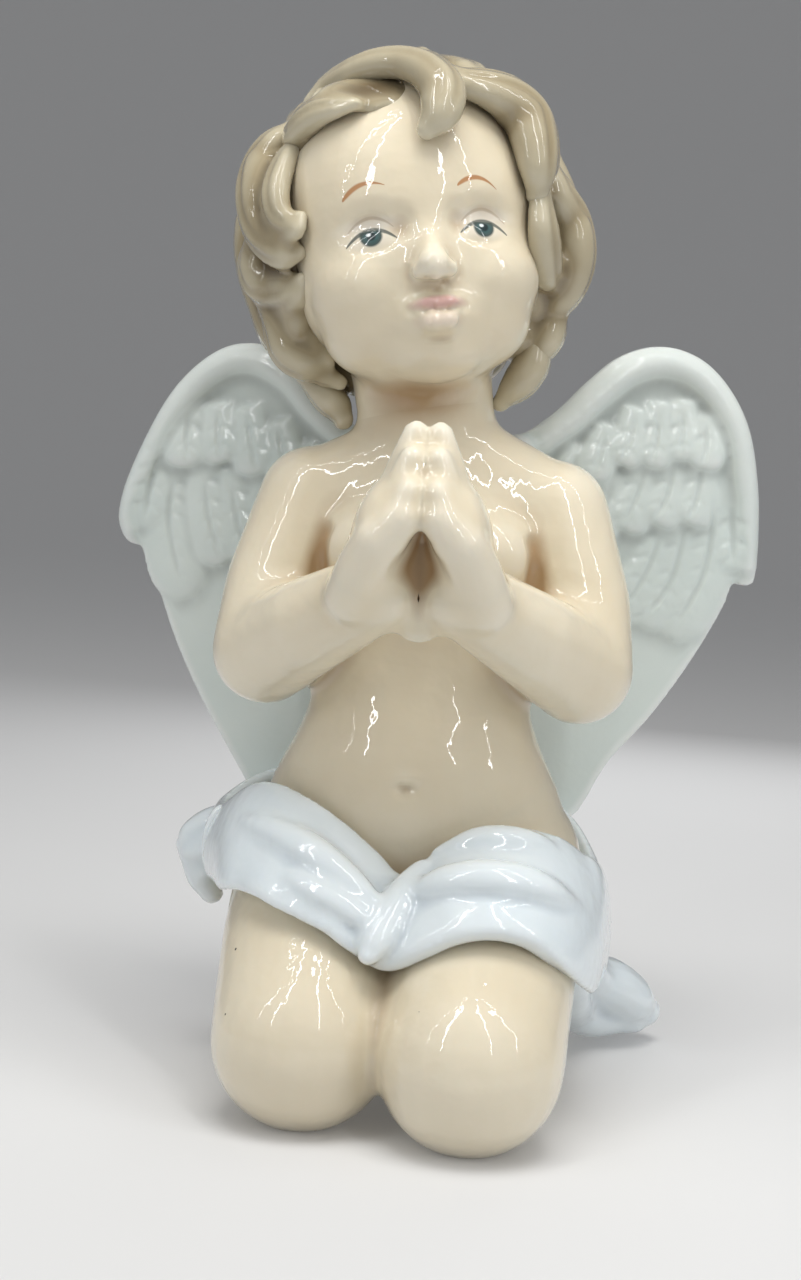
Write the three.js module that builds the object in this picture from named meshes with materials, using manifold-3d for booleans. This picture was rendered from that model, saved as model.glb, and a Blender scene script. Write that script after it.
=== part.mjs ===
// A kneeling cherub at prayer in glazed porcelain: separate slip castings, luted together before firing.
// Millimetres, +Z up. The figure faces -Y, so its own left side is at +X. It kneels on the plane z = 0.
import * as THREE from "three";
import { mergeVertices } from "three/addons/utils/BufferGeometryUtils.js";
import Module from "manifold-3d";

const wasm = await Module();
wasm.setup();

// Driving dimensions.
const seam = 0.3; // slip joint left between two castings
const wall = 3.5; // thickness of a hollow casting
const ventRadius = 2.5; // air hole under each shin
const groundOff = 1.6; // what is ground flat off each knee, shin and foot

const kneeRadius = 16.2;
const kneeSpread = 15.4;
const kneeForward = 32; // how far the right knee reaches in front of the spine
const kneeLead = 7; // how much further the left knee reaches
const hipRadius = 17.6;
const hipSpread = 14.6;
const hipHeight = 41;
const shinLength = 63;
const ankleRadius = 8.2;
const footLength = 20;

const torsoHeight = 82;
const hipWidth = 57;
const waistWidth = 41;
const shoulderWidth = 50;
const neckRadius = 13;

const upperArmRadius = 9.6;
const elbowRadius = 9.2;
const wristRadius = 6.8;
const elbowDrop = 30; // from the shoulder joint down to the elbow
const elbowSpread = 28.5;
const handRise = 15; // from the elbow up to the wrist
const handReach = 37; // how far in front of the spine the wrists meet
const palmLength = 18;
const palmWidth = 15;
const palmThick = 10.6;
const fingerLength = 14;
const fingerRadius = 2.5;

const headWidth = 49;
const headDepth = 52;
const headHeight = 56;
const headShift = 6; // how far the head leans over the right shoulder
const headTilt = 7; // degrees towards the figure's right shoulder
const headLift = 7; // degrees of looking up
const headLook = 6; // degrees turned to its left
const hairThick = 5.8;
const curlRadius = 8.4;

const wingSpread = 63.5; // from the spine to the outer edge
const wingTop = 32; // from the shoulder joint up to the crown of the wing
const wingTipRise = 8.5; // from the hip joint up to the tips of the lower feathers
const wingThick = 4.2;
const wingSweep = 20; // degrees that each wing turns back
const rimRadius = 4.4;
const wingDip = 4; // how much lower the right wing sits than the left

const drapeThick = 4.6;
const drapeBand = 19; // height of the cloth band round the hips

// Places that follow from them.
const side = { right: -1, left: 1 };
const spineTop = hipHeight + torsoHeight;
const shoulderHeight = spineTop - 15;
const wingHeight = shoulderHeight - 2;
const wingDrop = wingHeight - hipHeight - wingTipRise;
const shoulderSpread = shoulderWidth / 2 - 2;
const headBase = spineTop + 6;
const kneeHeight = kneeRadius - groundOff;
const ankleHeight = ankleRadius - groundOff;
const backDepth = 13; // how far the shoulder blades stand behind the spine

const point = (x, y, z) => new THREE.Vector3(x, y, z);
const radians = (degrees) => (degrees * Math.PI) / 180;

// Solids: three.js geometry in and out of the boolean library.

function solidOf(geometry) {
  const bare = geometry.clone();
  bare.deleteAttribute("normal");
  bare.deleteAttribute("uv");
  const merged = mergeVertices(bare, 1e-3);
  const mesh = new wasm.Mesh({
    numProp: 3,
    vertProperties: new Float32Array(merged.attributes.position.array),
    triVerts: new Uint32Array(merged.index.array),
  });
  return new wasm.Manifold(mesh);
}

function geometryOf(solid) {
  const mesh = solid.getMesh();
  const geometry = new THREE.BufferGeometry();
  geometry.setAttribute("position", new THREE.BufferAttribute(mesh.vertProperties, 3));
  geometry.setIndex(new THREE.BufferAttribute(mesh.triVerts, 1));
  geometry.computeVertexNormals();
  return geometry;
}

const join = (...solids) => solids.flat().reduce((whole, piece) => whole.add(piece));

function placed(geometry, position, turn = [0, 0, 0]) {
  const euler = new THREE.Euler(...turn.map(radians));
  geometry.applyQuaternion(new THREE.Quaternion().setFromEuler(euler));
  geometry.translate(position.x, position.y, position.z);
  return solidOf(geometry);
}

// An ellipsoid of the given half-axes.
function ball(position, radii, turn, grow = 0, detail = 12) {
  const geometry = new THREE.SphereGeometry(1, detail, Math.round(detail * 0.66));
  geometry.scale(radii[0] + grow, radii[1] + grow, radii[2] + grow);
  return placed(geometry, position, turn);
}

// A round limb from one ball to another, with a straight taper between them.
function limb(from, to, startRadius, endRadius, grow = 0, detail = 12) {
  const axis = to.clone().sub(from);
  const length = axis.length();
  const a = startRadius + grow;
  const b = endRadius + grow;
  const arcSteps = Math.round(detail / 3);
  const profile = [];
  for (let i = 0; i <= arcSteps; i++) {
    const angle = -Math.PI / 2 + (i / arcSteps) * (Math.PI / 2);
    profile.push(new THREE.Vector2(a * Math.cos(angle), a * Math.sin(angle)));
  }
  for (let i = 0; i <= arcSteps; i++) {
    const angle = (i / arcSteps) * (Math.PI / 2);
    profile.push(new THREE.Vector2(b * Math.cos(angle), length + b * Math.sin(angle)));
  }
  profile[0].x = 0;
  profile[profile.length - 1].x = 0;
  const geometry = new THREE.LatheGeometry(profile, detail);
  const turn = new THREE.Quaternion().setFromUnitVectors(point(0, 1, 0), axis.normalize());
  geometry.applyQuaternion(turn);
  geometry.translate(from.x, from.y, from.z);
  return solidOf(geometry);
}

function block(low, high) {
  const size = high.clone().sub(low);
  return placed(new THREE.BoxGeometry(size.x, size.y, size.z), low.clone().add(high).multiplyScalar(0.5));
}

// Everything on the far side of a plane across x, y or z, as a big block.
const far = 400;
const underFloor = block(point(-far, -far, -far), point(far, far, 0));
const beyondX = (s) => (s > 0 ? block(point(-far, -far, -far), point(seam / 2, far, far))
  : block(point(-seam / 2, -far, -far), point(far, far, far)));

// Torso: a lathed trunk, flattened front to back and bent along the spine.

function trunk(grow = 0) {
  const rise = (share) => hipHeight - 5 + share * (torsoHeight + 5);
  const half = [
    [0, 0], [0.005, hipWidth * 0.3], [0.06, hipWidth * 0.45], [0.14, hipWidth * 0.5],
    [0.25, hipWidth * 0.45], [0.37, waistWidth * 0.5], [0.5, waistWidth * 0.5],
    [0.63, shoulderWidth * 0.45], [0.76, shoulderWidth * 0.5], [0.85, shoulderWidth * 0.46],
    [0.91, shoulderWidth * 0.35], [0.96, neckRadius * 1.08], [0.995, neckRadius], [1, 0],
  ];
  const profile = half.map(([share, radius], i) => {
    const bottom = i === 0;
    const top = i === half.length - 1;
    const lift = bottom ? -grow : top ? grow : 0;
    return new THREE.Vector2(bottom || top ? 0 : Math.max(radius + grow, 1), rise(share) + lift);
  });
  const geometry = new THREE.LatheGeometry(profile, 16);
  geometry.rotateX(Math.PI / 2);
  const spot = geometry.attributes.position;
  for (let i = 0; i < spot.count; i++) {
    const share = (spot.getZ(i) - hipHeight) / torsoHeight;
    const flat = 0.84 - 0.24 * Math.sin(Math.PI * Math.min(Math.max(share - 0.3, 0) / 0.62, 1));
    const neck = THREE.MathUtils.smoothstep(share, 0.88, 0.98);
    const bend = -3.2 * Math.sin(Math.PI * Math.min(Math.max(share, 0) * 1.7, 1)) + 3 * share;
    spot.setY(i, spot.getY(i) * THREE.MathUtils.lerp(flat, 1, neck) + bend);
  }
  return solidOf(geometry);
}

function trunkHollow() {
  const bore = neckRadius - wall;
  const neckMouth = limb(point(0, 3, spineTop - 18), point(0, 3, spineTop + 10), bore, bore, 0, 10);
  const seat = ball(point(0, 0, hipHeight - 4), [hipWidth * 0.32, 12, 9]);
  return join(trunk(-wall), neckMouth, seat);
}

// Legs.

const hipOf = (s) => point(s * hipSpread, 1, hipHeight);
const kneeOf = (s) => point(s * kneeSpread, -kneeForward - (s > 0 ? kneeLead : 0), kneeHeight);
const ankleOf = (s) => point(s * (kneeSpread - 2), shinLength - kneeForward, ankleHeight);

const buttock = [hipRadius - 1, hipRadius - 2, hipRadius - 3];
const thigh = (s) => (grow = 0) => join(
  limb(hipOf(s), kneeOf(s), hipRadius, kneeRadius, grow, 16),
  ball(point(s * hipSpread, 8, hipHeight - 6), buttock, [0, 0, 0], grow),
);

const thighHollow = (s) => join(
  limb(hipOf(s), kneeOf(s), hipRadius, kneeRadius, -wall, 10),
  ball(hipOf(s).add(point(-s * 4, 0, 9)), [8, 8, 10]),
);

const shin = (s) => (grow = 0) =>
  limb(kneeOf(s).add(point(0, 6, -1.5)), ankleOf(s), kneeRadius - 3.6, ankleRadius, grow, 12);

// The shin is cast hollow, with an air hole in the ground underside.
function shinHollow(s) {
  const start = kneeOf(s).add(point(0, 16, -4));
  const end = ankleOf(s);
  const ventAt = start.clone().lerp(end, 0.35).setZ(-5);
  const vent = placed(new THREE.CylinderGeometry(ventRadius, ventRadius, 30, 12), ventAt, [90, 0, 0]);
  return join(limb(start, end, kneeRadius - 9, ankleRadius, -wall, 8), vent);
}

const foot = (s) => (grow = 0) => {
  const heel = ankleOf(s);
  const sole = ball(
    heel.clone().add(point(s * 1, footLength * 0.42, -0.4)),
    [ankleRadius * 0.92, footLength * 0.56, ankleRadius * 0.84], [8, 0, 0], grow,
  );
  const toes = [0, 1, 2, 3, 4].map((i) => {
    const across = (i - 1.8) * 3.1;
    const size = i === 0 ? 3 : 2.5 - i * 0.12;
    const at = heel.clone().add(point(s * (1 + across), footLength * 0.92 - i * 0.9, -3.2));
    return ball(at, [size, size * 1.25, size], [0, 0, 0], grow, 6);
  });
  return join(sole, toes);
};

// Arms and praying hands.

const shoulderOf = (s) => point(s * shoulderSpread, 2, shoulderHeight);
const elbowOf = (s) => point(s * elbowSpread, -6, shoulderHeight - elbowDrop);
const wristHeight = shoulderHeight - elbowDrop + handRise;
const wristOf = (s) => point(s * (palmThick / 2 + 2.4), -handReach, wristHeight);

const arm = (s) => (grow = 0) => join(
  limb(shoulderOf(s), elbowOf(s), upperArmRadius, elbowRadius, grow, 10),
  limb(elbowOf(s), wristOf(s), elbowRadius, wristRadius, grow, 10),
);

const hand = (s) => (grow = 0) => {
  const wrist = wristOf(s);
  const middle = wrist.clone().add(point(-s * 1.6, 0.6, palmLength * 0.42));
  const palm = ball(middle, [palmThick / 2 + 0.6, palmWidth / 2, palmLength * 0.62], [-4, 0, 0], grow);
  const tip = wrist.z + palmLength + fingerLength;
  const fingers = [0, 1, 2, 3].map((i) => {
    const shorter = [2.2, 0, 1.4, 5.4][i];
    const y = wrist.y + 5.4 - i * 3.7;
    const root = point(s * (fingerRadius + 0.9), y, wrist.z + palmLength * 0.72);
    const end = point(s * (fingerRadius + 0.1), y + 2.4, tip - shorter - fingerRadius);
    return limb(root, end, fingerRadius + 0.3, fingerRadius - 0.2, grow, 6);
  });
  const thumb = limb(
    wrist.clone().add(point(-s * 2, palmWidth * 0.42, 5)),
    point(s * (fingerRadius + 0.2), wrist.y + palmWidth * 0.62, wrist.z + palmLength * 0.92),
    fingerRadius + 0.9, fingerRadius, grow, 6,
  );
  return join(palm, fingers, thumb);
};

// Head: built upright about its own centre, then tilted.

const headCentre = point(-headShift, 2.5, headBase + headHeight * 0.5);
const headTurn = new THREE.Euler(radians(-headLift), radians(-headTilt), radians(headLook));
const skull = [headWidth / 2, headDepth / 2, headHeight / 2];

function onHead(solid) {
  const matrix = new THREE.Matrix4().makeRotationFromEuler(headTurn).setPosition(headCentre);
  return solid.transform(matrix.toArray());
}

const skullForm = (grow = 0) => join(
  ball(point(0, 1, 3), [skull[0], skull[1], skull[2] - 2], [0, 0, 0], grow, 16),
  ball(point(0, -5, -9), [skull[0] * 0.9, skull[1] * 0.78, skull[2] * 0.7], [0, 0, 0], grow, 12),
);

function head(grow = 0) {
  const nose = ball(point(0, -skull[1] * 0.98, -11), [3.4, 3.6, 3], [0, 0, 0], grow, 8);
  const lips = ball(point(0, -skull[1] * 0.88, -18.5), [5.4, 3, 2.6], [0, 0, 0], grow, 8);
  const chin = ball(point(0, -skull[1] * 0.74, -24.5), [6.4, 4.6, 4], [0, 0, 0], grow, 8);
  const under = headCentre.clone().add(point(2, 3, -headHeight * 0.3));
  const neck = limb(point(-1, 4, spineTop - 4), under, neckRadius, neckRadius, grow, 12);
  return join(onHead(join(skullForm(grow), nose, lips, chin)), neck);
}

function headHollow() {
  const bore = neckRadius - wall;
  const inside = onHead(ball(point(0, 0, 0), skull, [0, 0, 0], -wall - 1, 10));
  return join(inside, limb(point(-1, 4, spineTop - 12), headCentre, bore, bore, 0, 8));
}

// Hair.

function crownShell(grow = 0) {
  const shell = new THREE.SphereGeometry(1, 20, 14);
  const spot = shell.attributes.position;
  for (let i = 0; i < spot.count; i++) {
    const [x, y, z] = [spot.getX(i), spot.getY(i), spot.getZ(i)];
    const wave = 1 + 0.035 * Math.sin(Math.atan2(x, z) * 7 + 5 * y) * Math.sqrt(Math.max(1 - y * y, 0));
    spot.setXYZ(i, x * wave, y * wave, z * wave);
  }
  shell.rotateX(Math.PI / 2);
  const thick = hairThick + grow;
  shell.scale(skull[0] + thick, skull[1] + thick - 1, skull[2] + thick - 1);
  shell.translate(0, 3, 1.4);
  return solidOf(shell);
}

// The crown leaves the face, the throat and the nape open.
function hairCrown(grow = 0) {
  const faceSize = [skull[0] * 1.02, 26, skull[2] * 1.06];
  const face = ball(point(0, -skull[1] - 4, -8), faceSize, [0, 0, 0], -grow, 14);
  const throat = ball(point(0, -12, -skull[2] - 6), [skull[0] + 14, 26, 16], [0, 0, 0], -grow, 12);
  return onHead(crownShell(grow).subtract(face).subtract(throat));
}

// Curls applied one by one down each side, over the ears.
const sideCurls = (s) => (grow = 0) => onHead(join([0, 1, 2, 3, 4].map((i) => {
  const out = skull[0] + 2.2 - Math.max(i - 2, 0) * 2.6;
  const size = [curlRadius * 0.72, curlRadius * 0.94, curlRadius * 0.86];
  return ball(point(s * out, -6 + i * 2.2, 11 - i * 9.4), size, [0, 0, s * 14 * (i % 2)], grow, 8);
})));

const napeCurls = (grow = 0) => onHead(join([-1, 0, 1].map((i) =>
  ball(point(i * 11, skull[1] - 2 - Math.abs(i) * 3, -20), [7.6, 6.6, 8.4], [0, 0, 0], grow, 8))));

// One lock sweeps up from the right temple and over the brow, and ends in a hanging curl.
function forelock(grow = 0) {
  const path = [
    [-0.86, -0.5, 0.52, 3], [-0.68, -0.62, 0.76, 3.8], [-0.34, -0.68, 0.91, 4.2],
    [0.02, -0.72, 0.92, 4.2], [0.22, -0.8, 0.78, 3.8], [0.13, -0.94, 0.52, 2.4],
  ].map(([x, y, z, radius]) => ({ at: point(x * skull[0], y * skull[1], z * skull[2]), radius }));
  const lengths = path.slice(1).map((to, i) => limb(path[i].at, to.at, path[i].radius, to.radius, grow, 7));
  return onHead(join(lengths));
}

// Wings: a plate with feather steps and a rolled leading edge.

const wingRoot = point(9, backDepth + 2, wingHeight);
const wingReach = wingSpread - wingRoot.x;

function wingOutline() {
  const outline = new THREE.Shape();
  outline.moveTo(-4, -14);
  outline.lineTo(-3, 6);
  outline.quadraticCurveTo(wingReach * 0.2, wingTop * 0.42, wingReach * 0.36, wingTop * 0.82);
  outline.quadraticCurveTo(wingReach * 0.52, wingTop * 1.1, wingReach * 0.76, wingTop * 0.88);
  outline.quadraticCurveTo(wingReach * 0.98, wingTop * 0.5, wingReach * 1.02, -4);
  outline.quadraticCurveTo(wingReach * 1.05, -14, wingReach * 0.9, -14);
  outline.quadraticCurveTo(wingReach * 0.82, -wingDrop * 0.5, wingReach * 0.48, -wingDrop * 0.92);
  outline.quadraticCurveTo(wingReach * 0.4, -wingDrop * 1.02, wingReach * 0.3, -wingDrop * 0.94);
  outline.quadraticCurveTo(wingReach * 0.05, -wingDrop * 0.6, -4, -14);
  return outline;
}

const wing = (s) => (grow = 0) => {
  const plate = new THREE.ExtrudeGeometry(wingOutline(), {
    depth: wingThick, curveSegments: 4,
    bevelEnabled: true, bevelThickness: 1 + grow, bevelSize: 1 + grow, bevelSegments: 1,
  });
  plate.translate(0, 0, -wingThick / 2);
  plate.rotateX(Math.PI / 2);
  const rim = [
    [0.02, 0.1, 0.8], [0.34, 0.72, 1], [0.56, 0.93, 1],
    [0.8, 0.72, 1], [0.97, 0.1, 0.8], [0.98, -0.3, 0.7],
  ].map(([x, z, thick]) => ({ at: point(x * wingReach, -1.5, z * wingTop), r: thick * rimRadius }));
  const roll = rim.slice(1).map((to, i) => limb(rim[i].at, to.at, rim[i].r, to.r, grow, 7));
  const rows = [
    [0.3, -2, 15], [0.5, -3, 15], [0.7, -4, 15],
    [0.34, -22, 20], [0.54, -21, 20], [0.74, -17, 18],
  ];
  const feathers = rows.map(([x, z, length]) =>
    ball(point(x * wingReach, -1.6, z), [5.6, 2.2, length * 0.62], [0, -12, 0], grow, 7));
  const root = wingRoot.clone().setZ(wingRoot.z - (s < 0 ? wingDip : 0));
  const place = new THREE.Matrix4().makeRotationZ(radians(wingSweep)).setPosition(root);
  const whole = join(solidOf(plate), roll, feathers).transform(place.toArray());
  return s > 0 ? whole : whole.mirror([1, 0, 0]);
};

// Cloth round the hips.

// The band slants down to the figure's left and narrows to a twist in front.
function drape(grow = 0) {
  const outerX = hipSpread + hipRadius + drapeThick - 2;
  const outerY = hipRadius + kneeForward * 0.42 + drapeThick - 2;
  const profile = [[0, -0.5], [0.9, -0.46], [1, -0.2], [1, 0.16], [0.93, 0.46], [0, 0.5]]
    .map(([r, z]) => new THREE.Vector2(r, z));
  const band = new THREE.LatheGeometry(profile, 28);
  band.rotateX(Math.PI / 2);
  const spot = band.attributes.position;
  for (let i = 0; i < spot.count; i++) {
    const [x, y, z] = [spot.getX(i), spot.getY(i), spot.getZ(i)];
    const round = Math.atan2(x, -y);
    const reach = Math.hypot(x, y);
    const square = (Math.cos(round) ** 4 + Math.sin(round) ** 4) ** -0.22;
    const crease = square * (1 + 0.02 * Math.sin(round * 9));
    const depth = outerY + (y < 0 ? 8 * x : -2) + grow;
    const share = 0.74 + 0.22 * Math.abs(x) + 0.2 * Math.max(x, 0) + 0.3 * Math.max(y, 0);
    const height = drapeBand * share + 2 * grow;
    const dip = 2 * Math.exp(-((round / 0.5) ** 2)) * reach;
    const wide = x * (outerX + grow) * Math.min(crease, 1.03);
    spot.setXYZ(i, wide, y * depth * crease - 2, z * height + hipHeight - 2 - dip - 5 * x);
  }
  return solidOf(band);
}

const halfAt = 2;
const behindHips = block(point(-far, halfAt - seam / 2, -far), point(far, far, far));
const beforeHips = block(point(-far, -far, -far), point(far, halfAt + seam / 2, far));
const drapeFront = (grow = 0) => (grow ? drape(grow) : drape().subtract(behindHips));
const drapeBack = (grow = 0) => (grow ? drape(grow) : drape().subtract(beforeHips));

// The loose end at the right hip, and the end that trails to the floor behind the left knee.
function hipTail(grow = 0) {
  const start = point(-(hipSpread + hipRadius), 6, hipHeight - 2);
  return join(
    ball(start.clone().add(point(-5, 3, 0)), [9, 5.4, 9], [0, 20, -20], grow),
    ball(start.clone().add(point(-7, 5, -6)), [6, 4.6, 8], [0, -10, -20], grow, 10),
  );
}

function floorTail(grow = 0) {
  const start = point(hipSpread + hipRadius - 3, 13, hipHeight - 19);
  const end = point(hipSpread + hipRadius + 6, 31, 7);
  const heap = end.clone().add(point(2, 2, -1.4));
  return join(limb(start, end, 7, 7.4, grow, 9), ball(heap, [10, 9, 6.8], [0, 6, 20], grow, 12));
}

// Assembly: each casting is trimmed to fit those luted on before it.

const finish = {
  skin: { color: 0xd8cdae, roughness: 0.12, metalness: 0 },
  hair: { color: 0xa8966f, roughness: 0.16, metalness: 0 },
  wing: { color: 0xdcdfd8, roughness: 0.3, metalness: 0 },
  cloth: { color: 0xe6ecf0, roughness: 0.12, metalness: 0 },
};

const cherub = new THREE.Group();
const fitted = [];

function overlapsBox(a, b) {
  const [p, q] = [a.boundingBox(), b.boundingBox()];
  return [0, 1, 2].every((i) => p.min[i] < q.max[i] && q.min[i] < p.max[i]);
}

// form(grow) gives the casting's outer shape, that much larger all round.
function add(name, look, form, { hollow, cuts = [] } = {}) {
  const cutters = [underFloor, ...cuts, ...(hollow ? [hollow] : [])];
  let solid = cutters.reduce((left, cutter) => left.subtract(cutter), form(0));
  for (const neighbour of fitted) if (overlapsBox(solid, neighbour)) solid = solid.subtract(neighbour);
  const body = solid.decompose().reduce((best, part) => (part.volume() > best.volume() ? part : best));
  const mesh = new THREE.Mesh(geometryOf(body), new THREE.MeshStandardMaterial(finish[look]));
  mesh.name = name;
  cherub.add(mesh);
  fitted.push(cuts.reduce((left, cutter) => left.subtract(cutter), form(seam)));
}

add("torso", "skin", trunk, { hollow: trunkHollow() });
for (const [name, s] of Object.entries(side)) {
  const half = [beyondX(s)];
  add(`${name}_thigh`, "skin", thigh(s), { hollow: thighHollow(s), cuts: half });
  add(`${name}_shin`, "skin", shin(s), { hollow: shinHollow(s), cuts: half });
  add(`${name}_foot`, "skin", foot(s), { cuts: half });
  add(`${name}_arm`, "skin", arm(s), { cuts: half });
  add(`${name}_hand`, "skin", hand(s), { cuts: half });
}
add("head", "skin", head, { hollow: headHollow() });
add("hair_crown", "hair", hairCrown);
add("forelock", "hair", forelock);
add("nape_curls", "hair", napeCurls);
for (const [name, s] of Object.entries(side)) add(`${name}_side_curls`, "hair", sideCurls(s));
add("drape_front", "cloth", drapeFront, { cuts: [behindHips] });
add("drape_back", "cloth", drapeBack, { cuts: [beforeHips] });
add("drape_hip_tail", "cloth", hipTail);
add("drape_floor_tail", "cloth", floorTail);
for (const [name, s] of Object.entries(side)) add(`${name}_wing`, "wing", wing(s), { cuts: [beyondX(s)] });

// The origin is the middle of the footprint.
const footprint = new THREE.Box3().setFromObject(cherub).getCenter(point(0, 0, 0));
cherub.position.set(-footprint.x, -footprint.y, 0);

export default cherub;
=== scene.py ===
import math
import bmesh
import bpy
import numpy as np
from mathutils import Euler, Matrix, Vector


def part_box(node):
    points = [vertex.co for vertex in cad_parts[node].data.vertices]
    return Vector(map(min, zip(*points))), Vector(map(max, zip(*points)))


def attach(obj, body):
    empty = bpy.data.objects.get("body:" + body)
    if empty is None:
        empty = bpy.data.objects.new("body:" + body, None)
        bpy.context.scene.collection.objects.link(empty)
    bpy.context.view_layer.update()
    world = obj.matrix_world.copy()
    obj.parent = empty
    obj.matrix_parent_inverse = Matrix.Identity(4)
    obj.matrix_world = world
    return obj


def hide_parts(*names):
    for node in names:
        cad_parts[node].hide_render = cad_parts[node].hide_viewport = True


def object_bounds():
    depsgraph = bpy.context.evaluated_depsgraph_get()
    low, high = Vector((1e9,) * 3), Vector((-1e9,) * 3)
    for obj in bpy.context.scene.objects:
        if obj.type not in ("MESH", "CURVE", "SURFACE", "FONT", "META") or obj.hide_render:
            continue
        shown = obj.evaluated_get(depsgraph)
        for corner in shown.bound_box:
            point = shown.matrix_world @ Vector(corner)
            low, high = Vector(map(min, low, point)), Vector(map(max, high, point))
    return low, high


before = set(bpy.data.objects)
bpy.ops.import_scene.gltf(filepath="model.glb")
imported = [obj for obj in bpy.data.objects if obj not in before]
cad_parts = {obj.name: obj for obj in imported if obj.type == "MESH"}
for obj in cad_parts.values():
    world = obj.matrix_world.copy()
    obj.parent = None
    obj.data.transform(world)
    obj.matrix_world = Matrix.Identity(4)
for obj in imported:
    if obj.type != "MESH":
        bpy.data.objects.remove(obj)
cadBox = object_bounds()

scene = bpy.context.scene

# Everything is laid out in millimetres from the foot of the spine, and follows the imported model's place
# and size.
cadHeight = 190.8  # the height that the millimetres below are written for
torsoLow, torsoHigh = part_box("torso")
mm = (cadBox[1].z - cadBox[0].z) / cadHeight
spineFoot = Vector(((torsoLow.x + torsoHigh.x) / 2, torsoLow.y + 25.1 * mm, 0))
toRow = Matrix.Translation(spineFoot) @ Matrix.Scale(mm, 4)

# Small tools.


def vec(*numbers):
    return Vector(numbers)


def turned(x, y, z):
    return Euler([math.radians(a) for a in (x, y, z)]).to_matrix().to_4x4()


ballMoulds = {}


def addBall(clay, centre, radii, turn=(0, 0, 0), detail=24):
    if detail not in ballMoulds:
        ball = bmesh.new()
        bmesh.ops.create_uvsphere(ball, u_segments=detail, v_segments=detail * 2 // 3, radius=1)
        ballMoulds[detail] = bpy.data.meshes.new("ballMould")
        ball.to_mesh(ballMoulds[detail])
        ball.free()
    mesh = ballMoulds[detail].copy()
    mesh.transform(Matrix.Translation(centre) @ turned(*turn) @ Matrix.Diagonal((*radii, 1)))
    clay.from_mesh(mesh)
    bpy.data.meshes.remove(mesh)


def addLimb(clay, start, end, startRadius, endRadius):  # a round bar with ball ends
    start, end = Vector(start), Vector(end)
    axis = end - start
    turn = Vector((0, 0, 1)).rotation_difference(axis).to_matrix().to_4x4()
    place = Matrix.Translation((start + end) / 2) @ turn
    bmesh.ops.create_cone(clay, cap_ends=True, segments=28, radius1=startRadius, radius2=endRadius,
                          depth=axis.length, matrix=place)
    addBall(clay, start, (startRadius,) * 3)
    addBall(clay, end, (endRadius,) * 3)


def addChain(clay, points):  # a bent limb: (x, y, z, radius) at each bend
    for a, b in zip(points, points[1:]):
        addLimb(clay, a[:3], b[:3], a[3], b[3])


def smoothPath(points, steps=6):  # a curve through the points, in as many columns as they have
    points = np.array(points, float)
    padded = np.vstack([2 * points[0] - points[1], points, 2 * points[-1] - points[-2]])
    rows = []
    for i in range(len(points) - 1):
        p0, p1, p2, p3 = padded[i:i + 4]
        for t in np.linspace(0, 1, steps, endpoint=False):
            rows.append(0.5 * (2 * p1 + (p2 - p0) * t + (2 * p0 - 5 * p1 + 4 * p2 - p3) * t ** 2
                               + (3 * p1 - p0 - 3 * p2 + p3) * t ** 3))
    rows.append(points[-1])
    return np.array(rows)


# a lock, fold or trunk: rows are x, y, z, radius; out is its up side
def addStrand(clay, path, out, flat=1.0, sides=14):
    path = np.array(path, float)
    flats = np.broadcast_to(np.array(flat, float), (len(path),))
    rings = []
    for i, row in enumerate(path):
        along = Vector(path[min(i + 1, len(path) - 1), :3] - path[max(i - 1, 0), :3]).normalized()
        up = Vector(out[i] if np.ndim(out) == 2 else out)
        up = (up - along * up.dot(along)).normalized()
        place = Matrix((along.cross(up), up * flats[i], along)).transposed().to_4x4()
        place.translation = Vector(row[:3])
        verts = bmesh.ops.create_circle(clay, segments=sides, radius=row[3], matrix=place)["verts"]
        rings.append(list({edge for vert in verts for edge in vert.link_edges}))
    for a, b in zip(rings, rings[1:]):
        bmesh.ops.bridge_loops(clay, edges=a + b)
    for ring in (rings[0], rings[-1]):
        bmesh.ops.edgeloop_fill(clay, edges=ring)


def meshOf(clay, name):
    bmesh.ops.recalc_face_normals(clay, faces=clay.faces)
    mesh = bpy.data.meshes.new(name)
    clay.to_mesh(mesh)
    clay.free()
    return mesh


def readPoints(mesh):
    points = np.empty(len(mesh.vertices) * 3, np.float32)
    mesh.vertices.foreach_get("co", points)
    return points.reshape(-1, 3).astype(float)


def writePoints(mesh, points):
    mesh.vertices.foreach_set("co", np.asarray(points, np.float32).ravel())
    mesh.update()


def readNormals(mesh):
    normals = np.empty(len(mesh.vertices) * 3, np.float32)
    mesh.vertex_normals.foreach_get("vector", normals)
    return normals.reshape(-1, 3).astype(float)


def readEdges(mesh):
    edges = np.empty(len(mesh.edges) * 2, np.int32)
    mesh.edges.foreach_get("vertices", edges)
    return edges.reshape(-1, 2)


def withModifiers(mesh, *settings):  # bakes modifiers into a new mesh
    holder = bpy.data.objects.new("clayHolder", mesh)
    scene.collection.objects.link(holder)
    for kind, values in settings:
        modifier = holder.modifiers.new(kind.lower(), kind)
        for key, value in values.items():
            setattr(modifier, key, value)
    made = bpy.data.meshes.new_from_object(holder.evaluated_get(bpy.context.evaluated_depsgraph_get()))
    bpy.data.objects.remove(holder)
    bpy.data.meshes.remove(mesh)
    return made


coarse = 1.0


def kneaded(clay, name, voxel):  # one skin round all the lumps
    mesh = meshOf(clay, name)
    return withModifiers(mesh, ("REMESH", {"mode": "VOXEL", "voxel_size": voxel * coarse, "adaptivity": 0.0}))


def average(values, edges, count):
    total = np.zeros_like(values)
    for axis in range(values.shape[1]):
        total[:, axis] = (np.bincount(edges[:, 0], values[edges[:, 1], axis], len(values))
                          + np.bincount(edges[:, 1], values[edges[:, 0], axis], len(values)))
    return total / count


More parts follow.
